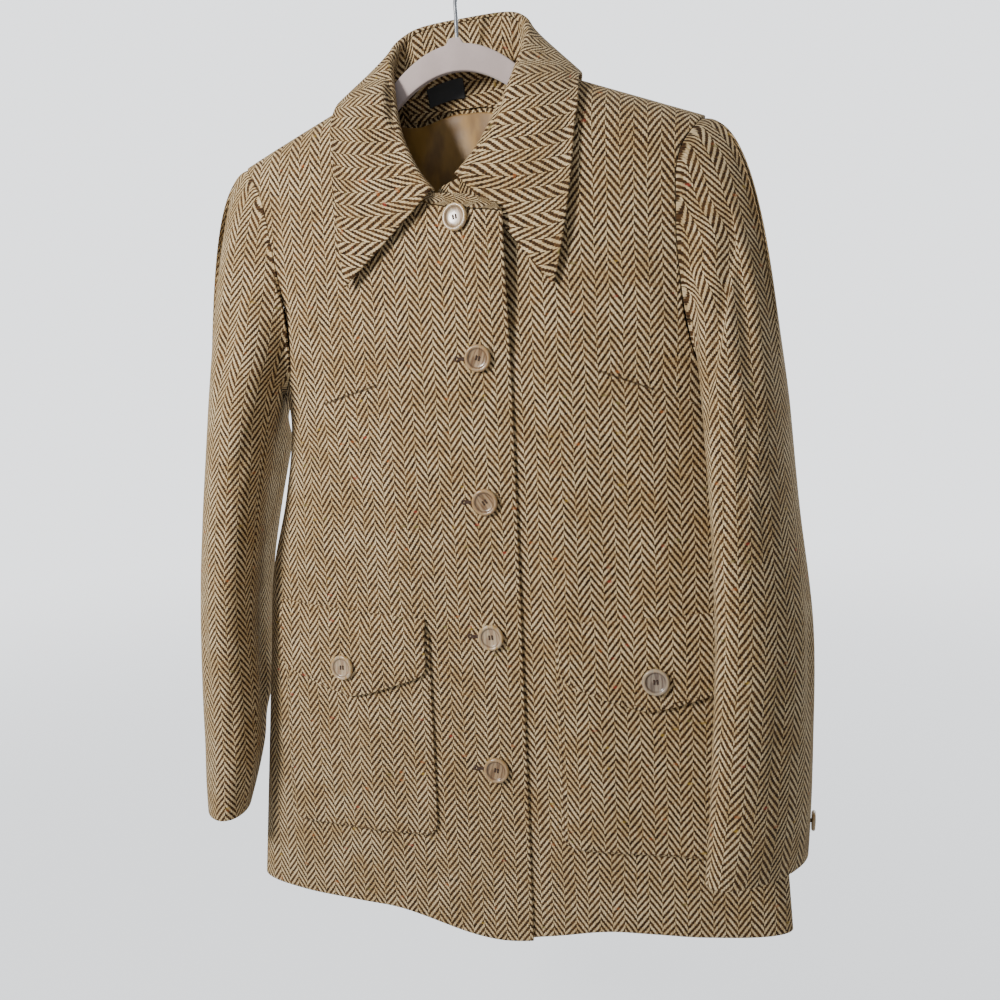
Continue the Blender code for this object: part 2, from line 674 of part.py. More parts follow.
def band_top(share, depth=0.0):
    """The top of the neckband, under the roll, or its own free edge past the collar's ends."""
    if 0.0 <= share <= 1.0:
        middle, up, out = roll_frame(share)
        return middle - out * (ROLL - WALL + depth) - up * CURVED_SEAM * 2.2
    if share < 0.0:
        rows = (BAND_RIGHT_END, BAND_RIGHT_MIDDLE, (0.0, *band_top(0.0)))
    else:
        rows = ((1.0, *band_top(1.0)), BAND_LEFT_END)
    return Vector([eased(rows, k, share) for k in (1, 2, 3)]) + Vector((0, depth, 0))


def band_shape(depth):
    def shape(s, t):
        share = BAND_RIGHT_END[0] + (BAND_LEFT_END[0] - BAND_RIGHT_END[0]) * s
        top = band_top(share, depth)
        base = neck_edge(share, -depth)
        inside = smoothstep(0.0, 0.03, share) * (1 - smoothstep(0.97, 1.0, share))
        base += (top - base).normalized() * CURVED_SEAM * (1 + inside)
        ends = min(s / 0.02, (1 - s) / 0.015, 1.0)
        top.z -= 0.35 * (top.z - base.z) * (1 - math.sqrt(max(1 - (1 - ends) ** 2, 0.0)))
        hollow = Vector((0, 0, 0)) if inside == 0 else roll_frame(share)[2] * BAND_HOLLOW * inside
        return base.lerp(top, t) - hollow * math.sin(math.pi * t)
    return shape


def build_collar():
    cloth("neckband", band_shape(0.0), band_shape(WALL), 48, 2, tweed())
    cloth("collar", fall_shape, fall_inside, 40, ROLL_ROWS + FALL_ROWS, tweed())


# Pockets and flaps, as distances from the button line and heights

POCKET_INNER, POCKET_OUTER = 0.060, 0.217
POCKET_TOP_Z, POCKET_BOTTOM_Z = -0.614, -0.811
POCKET_CORNER = 0.014
FLAP_INNER, FLAP_OUTER = 0.063, 0.219
FLAP_TOP_Z, FLAP_TOP_RISE = -0.600, 0.012
FLAP_SIDE_Z, FLAP_POINT_Z = -0.652, -0.677


def pocket_shape(side, lift):
    """A patch pocket with round lower corners, open at the top, on the front's own surface."""
    def shape(s, t):
        z = POCKET_BOTTOM_Z + (POCKET_TOP_Z - POCKET_BOTTOM_Z) * t ** 1.5
        short = max(POCKET_CORNER - (z - POCKET_BOTTOM_Z), 0.0)
        cut = POCKET_CORNER - math.sqrt(POCKET_CORNER ** 2 - short ** 2)
        inner, outer = POCKET_INNER + cut, POCKET_OUTER - cut
        x = BUTTON_LINE_X + side * (inner + (outer - inner) * s)
        return front_point(side, x, z, LAY + lift)
    return shape


def flap_edge_z(s):
    """The flap's lower edge: a blunt point in the middle, and rounded corners."""
    across = abs(2 * s - 1)
    corner = max(across - 0.90, 0.0) / 0.10
    return FLAP_POINT_Z + (FLAP_SIDE_Z - FLAP_POINT_Z) * across ** 1.25 + 0.007 * corner ** 2


def flap_point(side, s, t, lift=0.0):
    top = FLAP_TOP_Z + FLAP_TOP_RISE * s
    bottom = flap_edge_z(s)
    z = bottom + (top - bottom) * t
    x = BUTTON_LINE_X + side * (FLAP_INNER + (FLAP_OUTER - FLAP_INNER) * s)
    over_pocket = (WALL + LAY) * (1 - smoothstep(0.72, 0.97, t)) + 0.0012 * (1 - t) ** 2
    return front_point(side, x, z, LAY + WALL + over_pocket + lift)


def build_pockets():
    for side, word in ((RIGHT, "right"), (LEFT, "left")):
        cloth(f"pocket_{word}", pocket_shape(side, WALL), pocket_shape(side, 0.0), 10, 9, tweed())
        cloth(f"flap_{word}", lambda s, t: flap_point(side, s, t), lambda s, t: flap_point(side, s, t, -WALL),
              14, 5, tweed())


# Buttons

BUTTON_RADIUS, BUTTON_THICK = 0.0120, 0.0042
FRONT_BUTTONS = ((0.0060, -0.2440), (BUTTON_LINE_X, -0.3640), (BUTTON_LINE_X, -0.4910),
                 (BUTTON_LINE_X, -0.6150), (BUTTON_LINE_X, -0.7410))
FLAP_BUTTON_SHARE, FLAP_BUTTON_UP = 0.54, 0.33
CUFF_BUTTON_TURN, CUFF_BUTTON_DOWN = 0.83, 0.950
CUFF_BUTTON_SCALE = 0.72
BUTTON_STAND = 0.0008    # thread between the button and the cloth

BUTTON_COLUMNS = ("radius", "height")
BUTTON_PROFILE = (
    (0.000, 0.00), (0.80, 0.00), (0.97, 0.25), (1.00, 0.55), (0.94, 0.92), (0.84, 1.00), (0.74, 0.90), (0.64, 0.62),
    (0.000, 0.56),
)


def button(name, foot, normal, scale=1.0):
    """A turned button with a raised rim, set on the cloth at foot."""
    bm = bmesh.new()
    points = [Vector((r * BUTTON_RADIUS * scale, 0, h * BUTTON_THICK * scale)) for r, h in BUTTON_PROFILE]
    verts = [bm.verts.new(p) for p in points]
    edges = [bm.edges.new(pair) for pair in zip(verts, verts[1:])]
    bmesh.ops.spin(bm, geom=verts + edges, cent=(0, 0, 0), axis=(0, 0, 1), angle=2 * math.pi, steps=16,
                   use_merge=True)
    bmesh.ops.remove_doubles(bm, verts=bm.verts, dist=1e-6)
    bmesh.ops.recalc_face_normals(bm, faces=bm.faces)
    obj = new_object(name, bm, horn())
    obj.rotation_mode = "QUATERNION"
    obj.rotation_quaternion = normal.to_track_quat("Z", "X")
    obj.location = foot + normal * BUTTON_STAND


def normal_of(surface, a, b, step):
    """The outward normal of a surface given as a function of two values."""
    here = surface(a, b)
    normal = (surface(a + step, b) - here).cross(surface(a, b + step) - here).normalized()
    return here, normal


def build_buttons():
    for i, (x, z) in enumerate(FRONT_BUTTONS):
        foot, normal = normal_of(lambda a, b: front_point(RIGHT, a, b), x, z, 0.004)
        button(f"button_{i + 1}", foot, normal if normal.y < 0 else -normal)
    for side, word in ((RIGHT, "right"), (LEFT, "left")):
        foot, normal = normal_of(lambda a, b: flap_point(side, a, b), FLAP_BUTTON_SHARE, FLAP_BUTTON_UP, 0.03)
        button(f"flap_button_{word}", foot, normal if normal.y < 0 else -normal)
        foot, normal = normal_of(lambda a, b: sleeve_point(side, a, b), CUFF_BUTTON_TURN, CUFF_BUTTON_DOWN, 0.01)
        centre = Vector((SLEEVES[side][-1][1], SLEEVES[side][-1][2], foot.z))
        outward = normal if normal.dot(foot - centre) > 0 else -normal
        button(f"cuff_button_{word}", foot, outward, CUFF_BUTTON_SCALE)


# Hanger

HANGER_THICK = 0.0060
HANGER_HALF = 0.203
HANGER_DEEP = 0.023
HANGER_ARCH_Z = -0.090
HANGER_NECK_Z = -0.085
WIRE_RADIUS = 0.0018
HOOK_RADIUS = 0.0200     # of the wire's middle line
SHANK_TOP_Z = -0.052


def hanger_top_z(x):
    """Under the shoulder seams, and an arch between them with a stub for the hook."""
    x = abs(x)
    under_seam = ridge_z(x) - WALL - 0.0026
    arch = HANGER_ARCH_Z - 0.62 * x * x / NECK_HALF
    share = smoothstep(0.050, 0.092, x)
    stub = (HANGER_NECK_Z - HANGER_ARCH_Z) * (1 - smoothstep(0.0045, 0.0085, x))
    return arch * (1 - share) + under_seam * share + stub


def build_hanger():
    def shape(s, t):
        x = HANGER_HALF * math.copysign(abs(2 * s - 1) ** 1.35, s - 0.5)
        tip = math.sqrt(max(1 - smoothstep(0.92, 1.0, abs(x) / HANGER_HALF) ** 2, 0.12))
        high = hanger_top_z(x)
        low = min(high, HANGER_ARCH_Z - 0.62 * x * x / NECK_HALF if abs(x) < 0.02 else high) - HANGER_DEEP
        middle = (high + low) / 2
        return Vector((x, 0, middle + (high - low) * (t - 0.5) * tip))
    half = Vector((0, HANGER_THICK / 2, 0))
    flock = material("flock", (0.62, 0.52, 0.50), 0.95)
    body = cloth("hanger", lambda s, t: shape(s, t) - half, lambda s, t: shape(s, t) + half, 36, 2, flock)
    edge = body.modifiers.new("Edge", "BEVEL")
    edge.width = 0.0012
    edge.segments = 1
    edge.limit_method = "ANGLE"
    edge.angle_limit = math.radians(50)

    path = [(0.0, HANGER_NECK_Z + SEAM), (0.0, -0.074), (0.0, -0.063), (0.0, SHANK_TOP_Z)]
    middle_z = WIRE_RADIUS - HOOK_RADIUS
    for degrees in range(-55, 206, 13):
        angle = math.radians(degrees)
        path.append((HOOK_RADIUS * math.cos(angle), middle_z + HOOK_RADIUS * math.sin(angle)))
    curve = bpy.data.curves.new("hook", "CURVE")
    curve.dimensions = "3D"
    curve.bevel_depth = WIRE_RADIUS
    curve.bevel_resolution = 2
    curve.use_fill_caps = True
    line = curve.splines.new("POLY")
    count = 44
    line.points.add(count - 1)
    for i, point in enumerate(line.points):
        x, z = along(path, i / (count - 1))
        point.co = (x, 0, z, 1)
    hook = bpy.data.objects.new("hook", curve)
    curve.materials.append(material("steel", (0.55, 0.56, 0.58), 0.3, 1.0))
    bpy.context.scene.collection.objects.link(hook)


def build():
    for obj in list(bpy.data.objects):
        bpy.data.objects.remove(obj, do_unlink=True)
    build_body()
    build_inside()
    build_sleeves()
    build_collar()
    build_pockets()
    build_buttons()
    build_hanger()


build()
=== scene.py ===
"""The looks of a herringbone tweed coat on a slim hanger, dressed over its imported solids.

Metres, +Z up. The fronts face -Y, and +X is the wearer's left. Each section makes one piece or group of
like pieces.
"""

import math

import bmesh
import bpy
import numpy as np
from mathutils import Matrix, Vector


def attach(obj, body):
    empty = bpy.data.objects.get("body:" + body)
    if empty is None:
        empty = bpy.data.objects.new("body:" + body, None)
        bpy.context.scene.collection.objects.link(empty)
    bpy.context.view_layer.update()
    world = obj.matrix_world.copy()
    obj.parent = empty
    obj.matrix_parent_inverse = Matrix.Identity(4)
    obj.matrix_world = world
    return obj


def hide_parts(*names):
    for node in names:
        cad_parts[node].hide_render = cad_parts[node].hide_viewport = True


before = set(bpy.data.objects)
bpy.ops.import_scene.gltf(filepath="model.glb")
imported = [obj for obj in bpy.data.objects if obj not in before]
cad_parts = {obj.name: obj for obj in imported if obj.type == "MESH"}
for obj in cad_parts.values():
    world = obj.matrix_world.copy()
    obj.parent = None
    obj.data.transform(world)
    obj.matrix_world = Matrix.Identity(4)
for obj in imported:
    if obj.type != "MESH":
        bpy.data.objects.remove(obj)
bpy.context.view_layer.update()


# The fronts and the back
# Three panels of wool tweed, cut with the warp hanging plumb, and sewn at the shoulders and sides. The
# wearer's right front laps over the left. Each is a wall of cloth with soft turned edges, laid out over the
# body's level sections.

FRONT, BACK = -1, 1
RIGHT, LEFT = -1, 1       # the wearer's
SIDES = ((RIGHT, "right"), (LEFT, "left"))

WALL = 0.0026             # tweed with its interfacing
SEAM = 0.0003             # between two edges that are sewn together
LAY = 0.0006              # between two cloths that lie on each other
CURVED_SEAM = 0.0008      # as SEAM, round the neck
SHOULDER_HALF, NECK_HALF = 0.214, 0.078
NECK_POINT_Z, SHOULDER_POINT_Z = -0.119, -0.172
FRONT_NECK_Z, BACK_NECK_Z = -0.237, -0.101
UNDERARM_Z, HEM_Z, HEM_DIP = -0.392, -0.888, 0.020
OVERLAP = 0.0285
BUTTON_LINE_X = 0.0195
FRONT_EDGE_X = BUTTON_LINE_X + OVERLAP
SQUARENESS = 3.0          # of a level section: 2 is an ellipse
RIDGE_RISE = 0.045        # of the rounded ridge along the shoulders
ROW_DRAW = 0.45           # how much closer the rows lie towards the shoulders

BODY_COLUMNS = ("z", "half_width", "front", "back", "shift")
BODY = (
    (-0.10, 0.240, 0.034, 0.034, -0.002),
    (-0.20, 0.238, 0.037, 0.036, 0.001),
    (-0.26, 0.236, 0.039, 0.036, 0.005),
    (-0.33, 0.220, 0.039, 0.036, 0.011),
    (-0.40, 0.204, 0.039, 0.035, 0.017),
    (-0.49, 0.217, 0.038, 0.034, 0.0195),
    (-0.56, 0.236, 0.037, 0.034, 0.0195),
    (-0.65, 0.246, 0.037, 0.034, 0.0195),
    (-0.76, 0.256, 0.037, 0.034, 0.0180),
    (-0.90, 0.268, 0.037, 0.034, 0.0155),
)
EDGE_COLUMNS = ("x", "z")
FRONT_ARMHOLE = ((SHOULDER_HALF, SHOULDER_POINT_Z), (0.194, -0.200), (0.186, -0.250), (0.184, -0.300),
                 (0.185, -0.345), (0.192, -0.377), (0.2045, UNDERARM_Z))
BACK_ARMHOLE = ((SHOULDER_HALF, SHOULDER_POINT_Z), (0.200, -0.210), (0.192, -0.265), (0.188, -0.315),
                (0.189, -0.355), (0.195, -0.382), (0.2045, UNDERARM_Z))
FRONT_NECK = ((-OVERLAP, FRONT_NECK_Z - 0.006), (0.000, FRONT_NECK_Z), (0.030, FRONT_NECK_Z + 0.011),
              (0.056, FRONT_NECK_Z + 0.040), (0.072, FRONT_NECK_Z + 0.078), (NECK_HALF, NECK_POINT_Z))
BACK_NECK = ((-NECK_HALF, NECK_POINT_Z), (-0.068, NECK_POINT_Z + 0.0024), (-0.052, NECK_POINT_Z + 0.0056),
             (0.000, BACK_NECK_Z), (0.052, NECK_POINT_Z + 0.0056), (0.068, NECK_POINT_Z + 0.0024),
             (NECK_HALF, NECK_POINT_Z))

# Creases of each panel: middle, half length, half width, the way it runs, and how far it stands out
CREASE_COLUMNS = ("x", "z", "half_length", "half_width", "degrees", "height")
CREASES = {
    "front_right": (
        (-0.105, -0.720, 0.120, 0.026, 88, 0.0026),
        (-0.185, -0.800, 0.070, 0.020, 95, 0.0020),
        (-0.150, -0.505, 0.070, 0.020, 80, 0.0018),
        (-0.060, -0.560, 0.100, 0.030, 92, 0.0016),
        (-0.160, -0.345, 0.042, 0.011, 60, 0.0016),
        (-0.140, -0.300, 0.050, 0.014, 74, 0.0010),
        (-0.150, -0.420, 0.034, 0.012, 24, 0.0012),
        (-0.030, -0.800, 0.070, 0.022, 97, 0.0018),
        (-0.1725, -0.300, 0.080, 0.0070, 91, -0.0030),
    ),
    "front_left": (
        (0.115, -0.740, 0.110, 0.028, 92, 0.0028),
        (0.205, -0.800, 0.080, 0.020, 84, 0.0020),
        (0.170, -0.500, 0.080, 0.020, 98, 0.0020),
        (0.090, -0.560, 0.100, 0.026, 86, 0.0016),
        (0.178, -0.340, 0.046, 0.011, 112, 0.0018),
        (0.158, -0.290, 0.050, 0.014, 104, 0.0012),
        (0.150, -0.425, 0.036, 0.012, -22, 0.0012),
        (0.070, -0.850, 0.050, 0.020, 88, 0.0016),
    ),
    "back": (
        (-0.070, -0.700, 0.140, 0.028, 90, 0.0032),
        (0.105, -0.740, 0.120, 0.030, 93, 0.0034),
        (0.018, -0.820, 0.080, 0.024, 88, 0.0026),
        (-0.165, -0.780, 0.090, 0.022, 86, 0.0024),
        (-0.150, -0.360, 0.060, 0.014, 62, 0.0022),
        (0.168, -0.350, 0.056, 0.015, 116, 0.0024),
        (0.060, -0.480, 0.070, 0.018, 70, 0.0014),
        (-0.040, -0.500, 0.060, 0.016, 108, 0.0014),
        (0.004, -0.170, 0.060, 0.013, 4, 0.0012),
    ),
}


def eased(rows, column, at):
    """A smooth curve through one column of a table, against its first column."""
    knots, values = np.array([(row[0], row[column]) for row in rows], float).T
    if knots[0] > knots[-1]:
        knots, values = knots[::-1], values[::-1]
    slopes = np.gradient(values, knots)
    at = np.clip(at, knots[0], knots[-1])
    i = np.clip(np.searchsorted(knots, at, side="right") - 1, 0, len(knots) - 2)
    span = knots[i + 1] - knots[i]
    s = (at - knots[i]) / span
    a, b = values[i], values[i + 1]
    da, db = slopes[i] * span, slopes[i + 1] * span
    return a + s * da + s * s * (3 * (b - a) - 2 * da - db) + s ** 3 * (2 * (a - b) + da + db)


def along(points, share):
    """The points at some shares of the length of a smooth curve through a few points."""
    points = np.array(points, float)
    steps = np.linalg.norm(np.diff(points, axis=0), axis=1)
    marks = np.concatenate([[0.0], np.cumsum(steps)]) / steps.sum()
    rows = np.column_stack([marks, points])
    return np.stack([eased(rows, k + 1, share) for k in range(points.shape[1])], axis=-1)


def smoothstep(low, high, value):
    share = np.clip((value - low) / (high - low), 0.0, 1.0)
    return share * share * (3 - 2 * share)


def unit(vectors):
    return vectors / np.linalg.norm(vectors, axis=-1, keepdims=True)


def level_section():
    """Half of a level section: its length, and the shares of width and depth along that length."""
    width = np.sin(np.linspace(0, math.pi / 2, 600))
    depth = np.sqrt(np.clip(1 - width ** SQUARENESS, 0, 1))
    steps = np.hypot(np.diff(width) * BODY[-1][1], np.diff(depth) * BODY[-1][2])
    run = np.concatenate([[0.0], np.cumsum(steps)])
    return run[-1], run / run[-1], width, depth


SECTION_LENGTH, SECTION_RUN, SECTION_WIDTH, SECTION_DEPTH = level_section()
RIDGE_RUN = math.pi / 2 * math.sqrt((RIDGE_RISE ** 2 + BODY[1][2] ** 2) / 2)


def ridge_z(x):
    """Height of the shoulder seam over a distance from the middle."""
    slope = (SHOULDER_POINT_Z - NECK_POINT_Z) / (SHOULDER_HALF - NECK_HALF)
    return NECK_POINT_Z + slope * (abs(x) - NECK_HALF)


def on_body(face, c, q, lift=0.0):
    """Points of the body's outside, c of the way to a side seam and q down the cloth from the shoulder."""
    c, q, lift = np.broadcast_arrays(np.asarray(c, float), np.asarray(q, float), np.asarray(lift, float))

    def bare(c, q):
        width = np.interp(abs(c), SECTION_RUN, SECTION_WIDTH)
        depth = np.interp(abs(c), SECTION_RUN, SECTION_DEPTH)
        turn = np.minimum(q / RIDGE_RUN, 1.0) * math.pi / 2
        drop = RIDGE_RISE * (1 - np.cos(turn)) + np.maximum(q - RIDGE_RUN, 0.0)
        z = ridge_z(width * BODY[0][1]) - drop
        x = np.copysign(width, c) * eased(BODY, 1, z) + eased(BODY, 4, z)
        y = face * depth * np.sin(turn) * eased(BODY, 2 if face == FRONT else 3, z)
        return np.stack([x, y, z], axis=-1)

    point = bare(c, q)
    step = np.where(c < 0.99, 0.004, -0.004)
    across = (bare(c + step, q) - point) / step[..., None]
    down = bare(c, q + 0.001) - point
    return point + unit(np.cross(across, down)) * face * lift[..., None]


def to_sheet(x, z):
    """The shares c and q of the places at a distance x from the middle and a height z."""
    x, z = np.broadcast_arrays(np.asarray(x, float), np.asarray(z, float))
    width = np.minimum(abs(x) / eased(BODY, 1, z), 1.0)
    c = np.copysign(np.interp(width, SECTION_WIDTH, SECTION_RUN), x)
    drop = np.maximum(ridge_z(width * BODY[0][1]) - z, 0.0)
    bent = RIDGE_RUN * np.arccos(np.clip(1 - drop / RIDGE_RISE, -1, 1)) / (math.pi / 2)
    return np.stack([c, np.where(drop < RIDGE_RISE, bent, RIDGE_RUN + drop - RIDGE_RISE)], axis=-1)


def place(x, z):
    """As to_sheet, for a real x."""
    return to_sheet(x - eased(BODY, 4, z), z)


def patch(low, high, start, end):
    """Fills four edges: low and high run across, start and end run up. All are functions of a share."""

    def at(s, t):
        zero, one = np.zeros(1), np.ones(1)
        s2, t2 = s[..., None], t[..., None]
        corners = ((1 - s2) * (1 - t2) * low(zero) + s2 * (1 - t2) * low(one)
                   + (1 - s2) * t2 * high(zero) + s2 * t2 * high(one))
        return (1 - t2) * low(s) + t2 * high(s) + (1 - s2) * start(t) + s2 * end(t) - corners

    return at


def closer_up(t):
    """Draws the rows of a grid closer together towards the shoulders."""
    return t + ROW_DRAW * t * (1 - t)


def creased(rows, across, up):
    """How far the cloth stands out at some places, from a table of creases."""
    height = np.zeros(np.broadcast(across, up).shape)
    for middle_across, middle_up, half_length, half_width, degrees, rise in rows:
        turn = math.radians(degrees)
        on, off = across - middle_across, up - middle_up
        run = (on * math.cos(turn) + off * math.sin(turn)) / half_length
        side = (off * math.cos(turn) - on * math.sin(turn)) / half_width
        height += rise * (1 - 0.6 * side ** 2) * np.exp(-run ** 2 - side ** 2)
    return height


def front_lift(side, x, z):
    """The left front lies in under the right one, whose top corner is raised by the collar beneath it."""
    if side == LEFT:
        return -(WALL + SEAM + 0.0002) * (1 - smoothstep(FRONT_EDGE_X + 0.004, FRONT_EDGE_X + 0.045, x))
    return 0.0095 * smoothstep(-0.400, -0.255, z) * smoothstep(-0.030, FRONT_EDGE_X - 0.012, x)


def calm(x, z):
    """Keeps creases off the button line and the seams."""
    return smoothstep(0.0, 0.035, abs(x - BUTTON_LINE_X)) * smoothstep(0.0, 0.05, ridge_z(x) - z)


def front_cloth(side, c, q, lift=0.0):
    """Points of a front, raised by lift."""
    flat = on_body(FRONT, c, q)
    x, z = flat[..., 0], flat[..., 2]
    word = "right" if side == RIGHT else "left"
    at_side = smoothstep(0.0, 0.06, 1 - abs(c))
    rise = creased(CREASES["front_" + word], x, z) * calm(x, z) * at_side
    point = on_body(FRONT, c, q, front_lift(side, x, z) + rise + lift)
    point[..., 1] = np.minimum(point[..., 1], 0.0) - SEAM / 2
    return point


def front_point(side, x, z, lift=0.0):
    """Points on a front at a real x and a height."""
    c, q = np.moveaxis(place(x, z), -1, 0)
    return front_cloth(side, c, q, lift)


FRONT_ACROSS, NECK_COLUMNS = 16, 10          # of a front's columns, those that its neck edge takes


def front_net(side):
    """The shares c and q of a front's cloth, from its free edge to the side seam and the armhole."""
    reach = UNDERARM_Z - HEM_Z
    bend = reach / (reach + 0.26)

    def outer(t):
        z = HEM_Z + (UNDERARM_Z - HEM_Z) * t / bend
        seam = to_sheet(eased(BODY, 1, z), z)
        hole = np.moveaxis(along(FRONT_ARMHOLE[::-1], np.clip((t - bend) / (1 - bend), 0, 1)), -1, 0)
        return np.where((t < bend)[..., None], seam, to_sheet(*hole))

    def free_x(z):
        middle = eased(BODY, 4, z)
        return middle - FRONT_EDGE_X if side == RIGHT else BUTTON_LINE_X - OVERLAP - middle

    def inner(t):
        low = HEM_Z - HEM_DIP
        z = low + (FRONT_NECK[0][1] - low) * t
        return to_sheet(free_x(z), z)

    def low(s):
        start = free_x(HEM_Z)
        x = start + s * (eased(BODY, 1, HEM_Z) - start)
        return to_sheet(x, HEM_Z - HEM_DIP * (1 - smoothstep(0.0, 0.120, abs(x))))

    def high(s):
        neck = NECK_COLUMNS / FRONT_ACROSS
        x = NECK_HALF + (SHOULDER_HALF - NECK_HALF) * (s - neck) / (1 - neck)
        shoulder = to_sheet(x, ridge_z(x))
        x, z = np.moveaxis(along(FRONT_NECK, np.clip(s / neck, 0, 1)), -1, 0)
        pull = (free_x(FRONT_NECK[0][1]) + OVERLAP) * (1 - smoothstep(-OVERLAP, 0.030, x))
        return np.where((s >= neck)[..., None], shoulder, to_sheet(x + pull, z))

    net = patch(low, high, inner, outer)

    def shares(s, t):
        found = net(s, closer_up(t))
        return side * np.minimum(found[..., 0], 1.0), np.maximum(found[..., 1], 0.0)

    return shares


BACK_ACROSS, BACK_UP = 20, 24
YOKE = 6 / BACK_ACROSS                       # share of the back's top edge that each shoulder takes


def back_net(s, t):
    """The shares c and q of the back's cloth, from one side seam and armhole to the other."""
    reach = UNDERARM_Z - HEM_Z
    bend = reach / (reach + 0.25)

    def end(t):
        z = HEM_Z + (UNDERARM_Z - HEM_Z) * t / bend
        seam = to_sheet(eased(BODY, 1, z), z)
        hole = np.moveaxis(along(BACK_ARMHOLE[::-1], np.clip((t - bend) / (1 - bend), 0, 1)), -1, 0)
        return np.where((t < bend)[..., None], seam, to_sheet(*hole))

    def low(s):
        return to_sheet((2 * s - 1) * eased(BODY, 1, HEM_Z), HEM_Z)

    def high(s):
        neck = np.moveaxis(along(BACK_NECK, np.clip((s - YOKE) / (1 - 2 * YOKE), 0, 1)), -1, 0)
        share = np.minimum(s, 1 - s) / YOKE
        x = SHOULDER_HALF + (NECK_HALF - SHOULDER_HALF) * np.minimum(share, 1.0)
        shoulder = to_sheet(x, ridge_z(x)) * np.stack([np.where(s < 0.5, -1, 1), np.ones_like(s)], axis=-1)
        return np.where((share < 1)[..., None], shoulder, to_sheet(*neck))

    found = patch(low, high, lambda t: end(t) * (-1, 1), end)(s, closer_up(t))
    return np.clip(found[..., 0], -1.0, 1.0), np.maximum(found[..., 1], 0.0)


def back_cloth(s, t, lift=0.0):
    """Points of the back, raised by lift."""
    c, q = back_net(s, t)
    flat = on_body(BACK, c, q)
    x, z = flat[..., 0], flat[..., 2]
    at_side = smoothstep(0.0, 0.06, 1 - abs(c)) * smoothstep(0.0, 0.05, ridge_z(x) - z)
    point = on_body(BACK, c, q, creased(CREASES["back"], x, z) * at_side + lift)
    point[..., 1] = np.maximum(point[..., 1], 0.0) + SEAM / 2
    return point


def body_pattern(c, q):
    """Where the weave lies on the body's panels: the stripes hang plumb, and the warp runs down the cloth."""
    z = on_body(FRONT, c, q)[..., 2]
    level = ridge_z(np.interp(abs(c), SECTION_RUN, SECTION_WIDTH) * BODY[0][1]) - q
    across = c * SECTION_LENGTH * eased(BODY, 1, z) / BODY[-1][1] + eased(BODY, 4, z)
    return np.stack([across, level], axis=-1)


def graded(count, edge):
    """Even shares, with one more close to each end so that the turned edges stay narrow."""
    even = np.linspace(0, 1, count + 1)
    return np.concatenate([[0.0, edge], even[1:-1], [1 - edge, 1.0]])


def to_mesh(bm, name):
    """Takes a bmesh's faces over into a smooth mesh."""
    mesh = bpy.data.meshes.new(name)
    bm.to_mesh(mesh)
    bm.free()
    mesh.shade_smooth()
    return mesh


def to_piece(data, finish, node=None):
    """Sets a mesh or a curve up as a piece of the coat, which stands for a CAD node or only adds to one."""
    data.materials.append(finish)
    piece = bpy.data.objects.new(data.name, data)
    bpy.context.scene.collection.objects.link(piece)
    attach(piece, "root")
    if node:
        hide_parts(node)
    return piece


def sew(name, node, outer, inner, across, up, finish, pattern):
    """A wall of cloth between two sheets, with its weave laid out, standing for one CAD node."""
    bm = bmesh.new()
    bmesh.ops.create_grid(bm, x_segments=len(across) - 1, y_segments=len(up) - 1, size=1.0)
    raised = bmesh.ops.extrude_face_region(bm, geom=bm.faces[:], use_keep_orig=True)["geom"]
    raised = {v for v in raised if isinstance(v, bmesh.types.BMVert)}
    bm.verts.index_update()
    spots = np.array([v.co[:2] for v in bm.verts])
    on_outside = np.array([v in raised for v in bm.verts])
    column = np.rint((spots[:, 0] + 1) / 2 * (len(across) - 1)).astype(int)
    row = np.rint((spots[:, 1] + 1) / 2 * (len(up) - 1)).astype(int)
    s, t = np.meshgrid(across, up)
    outside, inside = outer(s, t), inner(s, t)
    points = np.where(on_outside[:, None], outside[row, column], inside[row, column])
    for vert, point in zip(bm.verts, points):
        vert.co = point
    bmesh.ops.recalc_face_normals(bm, faces=bm.faces)
    mesh = to_mesh(bm, name)
    woven = pattern(s, t, outside)
    loops = np.empty(len(mesh.loops), int)
    mesh.loops.foreach_get("vertex_index", loops)
    layer = mesh.uv_layers.new(name="weave")
    layer.uv.foreach_set("vector", woven[row, column][loops].astype(np.float32).ravel())
    piece = to_piece(mesh, finish, node)
    soft = piece.modifiers.new("Soft edges", "SUBSURF")
    soft.levels = soft.render_levels = 1


# Herringbone tweed, in millimetres: the width of a stripe, how a diagonal repeats across and up, and the
# yarns' pitch
STRIPE = 11.2
REPEAT_ACROSS, REPEAT_UP = 5.4, 7.1
WARP_PITCH, WEFT_PITCH = 1.45, 1.83
CREAM_PALE, CREAM_DEEP = (0.860, 0.680, 0.405), (0.560, 0.385, 0.180)
BROWN_PALE, BROWN_DEEP = (0.115, 0.056, 0.020), (0.026, 0.012, 0.005)
FLECKS = ((0.00, (0.36, 0.10, 0.025)), (0.36, (0.42, 0.27, 0.045)), (0.62, (0.16, 0.14, 0.035)),
          (0.84, (0.36, 0.035, 0.025)))


def calc(tree, operation, *values):
    """The result of a Math node on sockets and numbers."""
    node = tree.nodes.new("ShaderNodeMath")
    node.operation = operation
    for socket, value in zip(node.inputs, values):
        if isinstance(value, (int, float)):
            socket.default_value = value
        else:
            tree.links.new(value, socket)
    return node.outputs[0]


def ramped(tree, value, low, high, to_low=0.0, to_high=1.0):
    """A smooth step of a value between two limits."""
    node = tree.nodes.new("ShaderNodeMapRange")
    node.interpolation_type = "SMOOTHSTEP"
    tree.links.new(value, node.inputs["Value"])
    for name, number in (("From Min", low), ("From Max", high), ("To Min", to_low), ("To Max", to_high)):
        node.inputs[name].default_value = number
    return node.outputs["Result"]


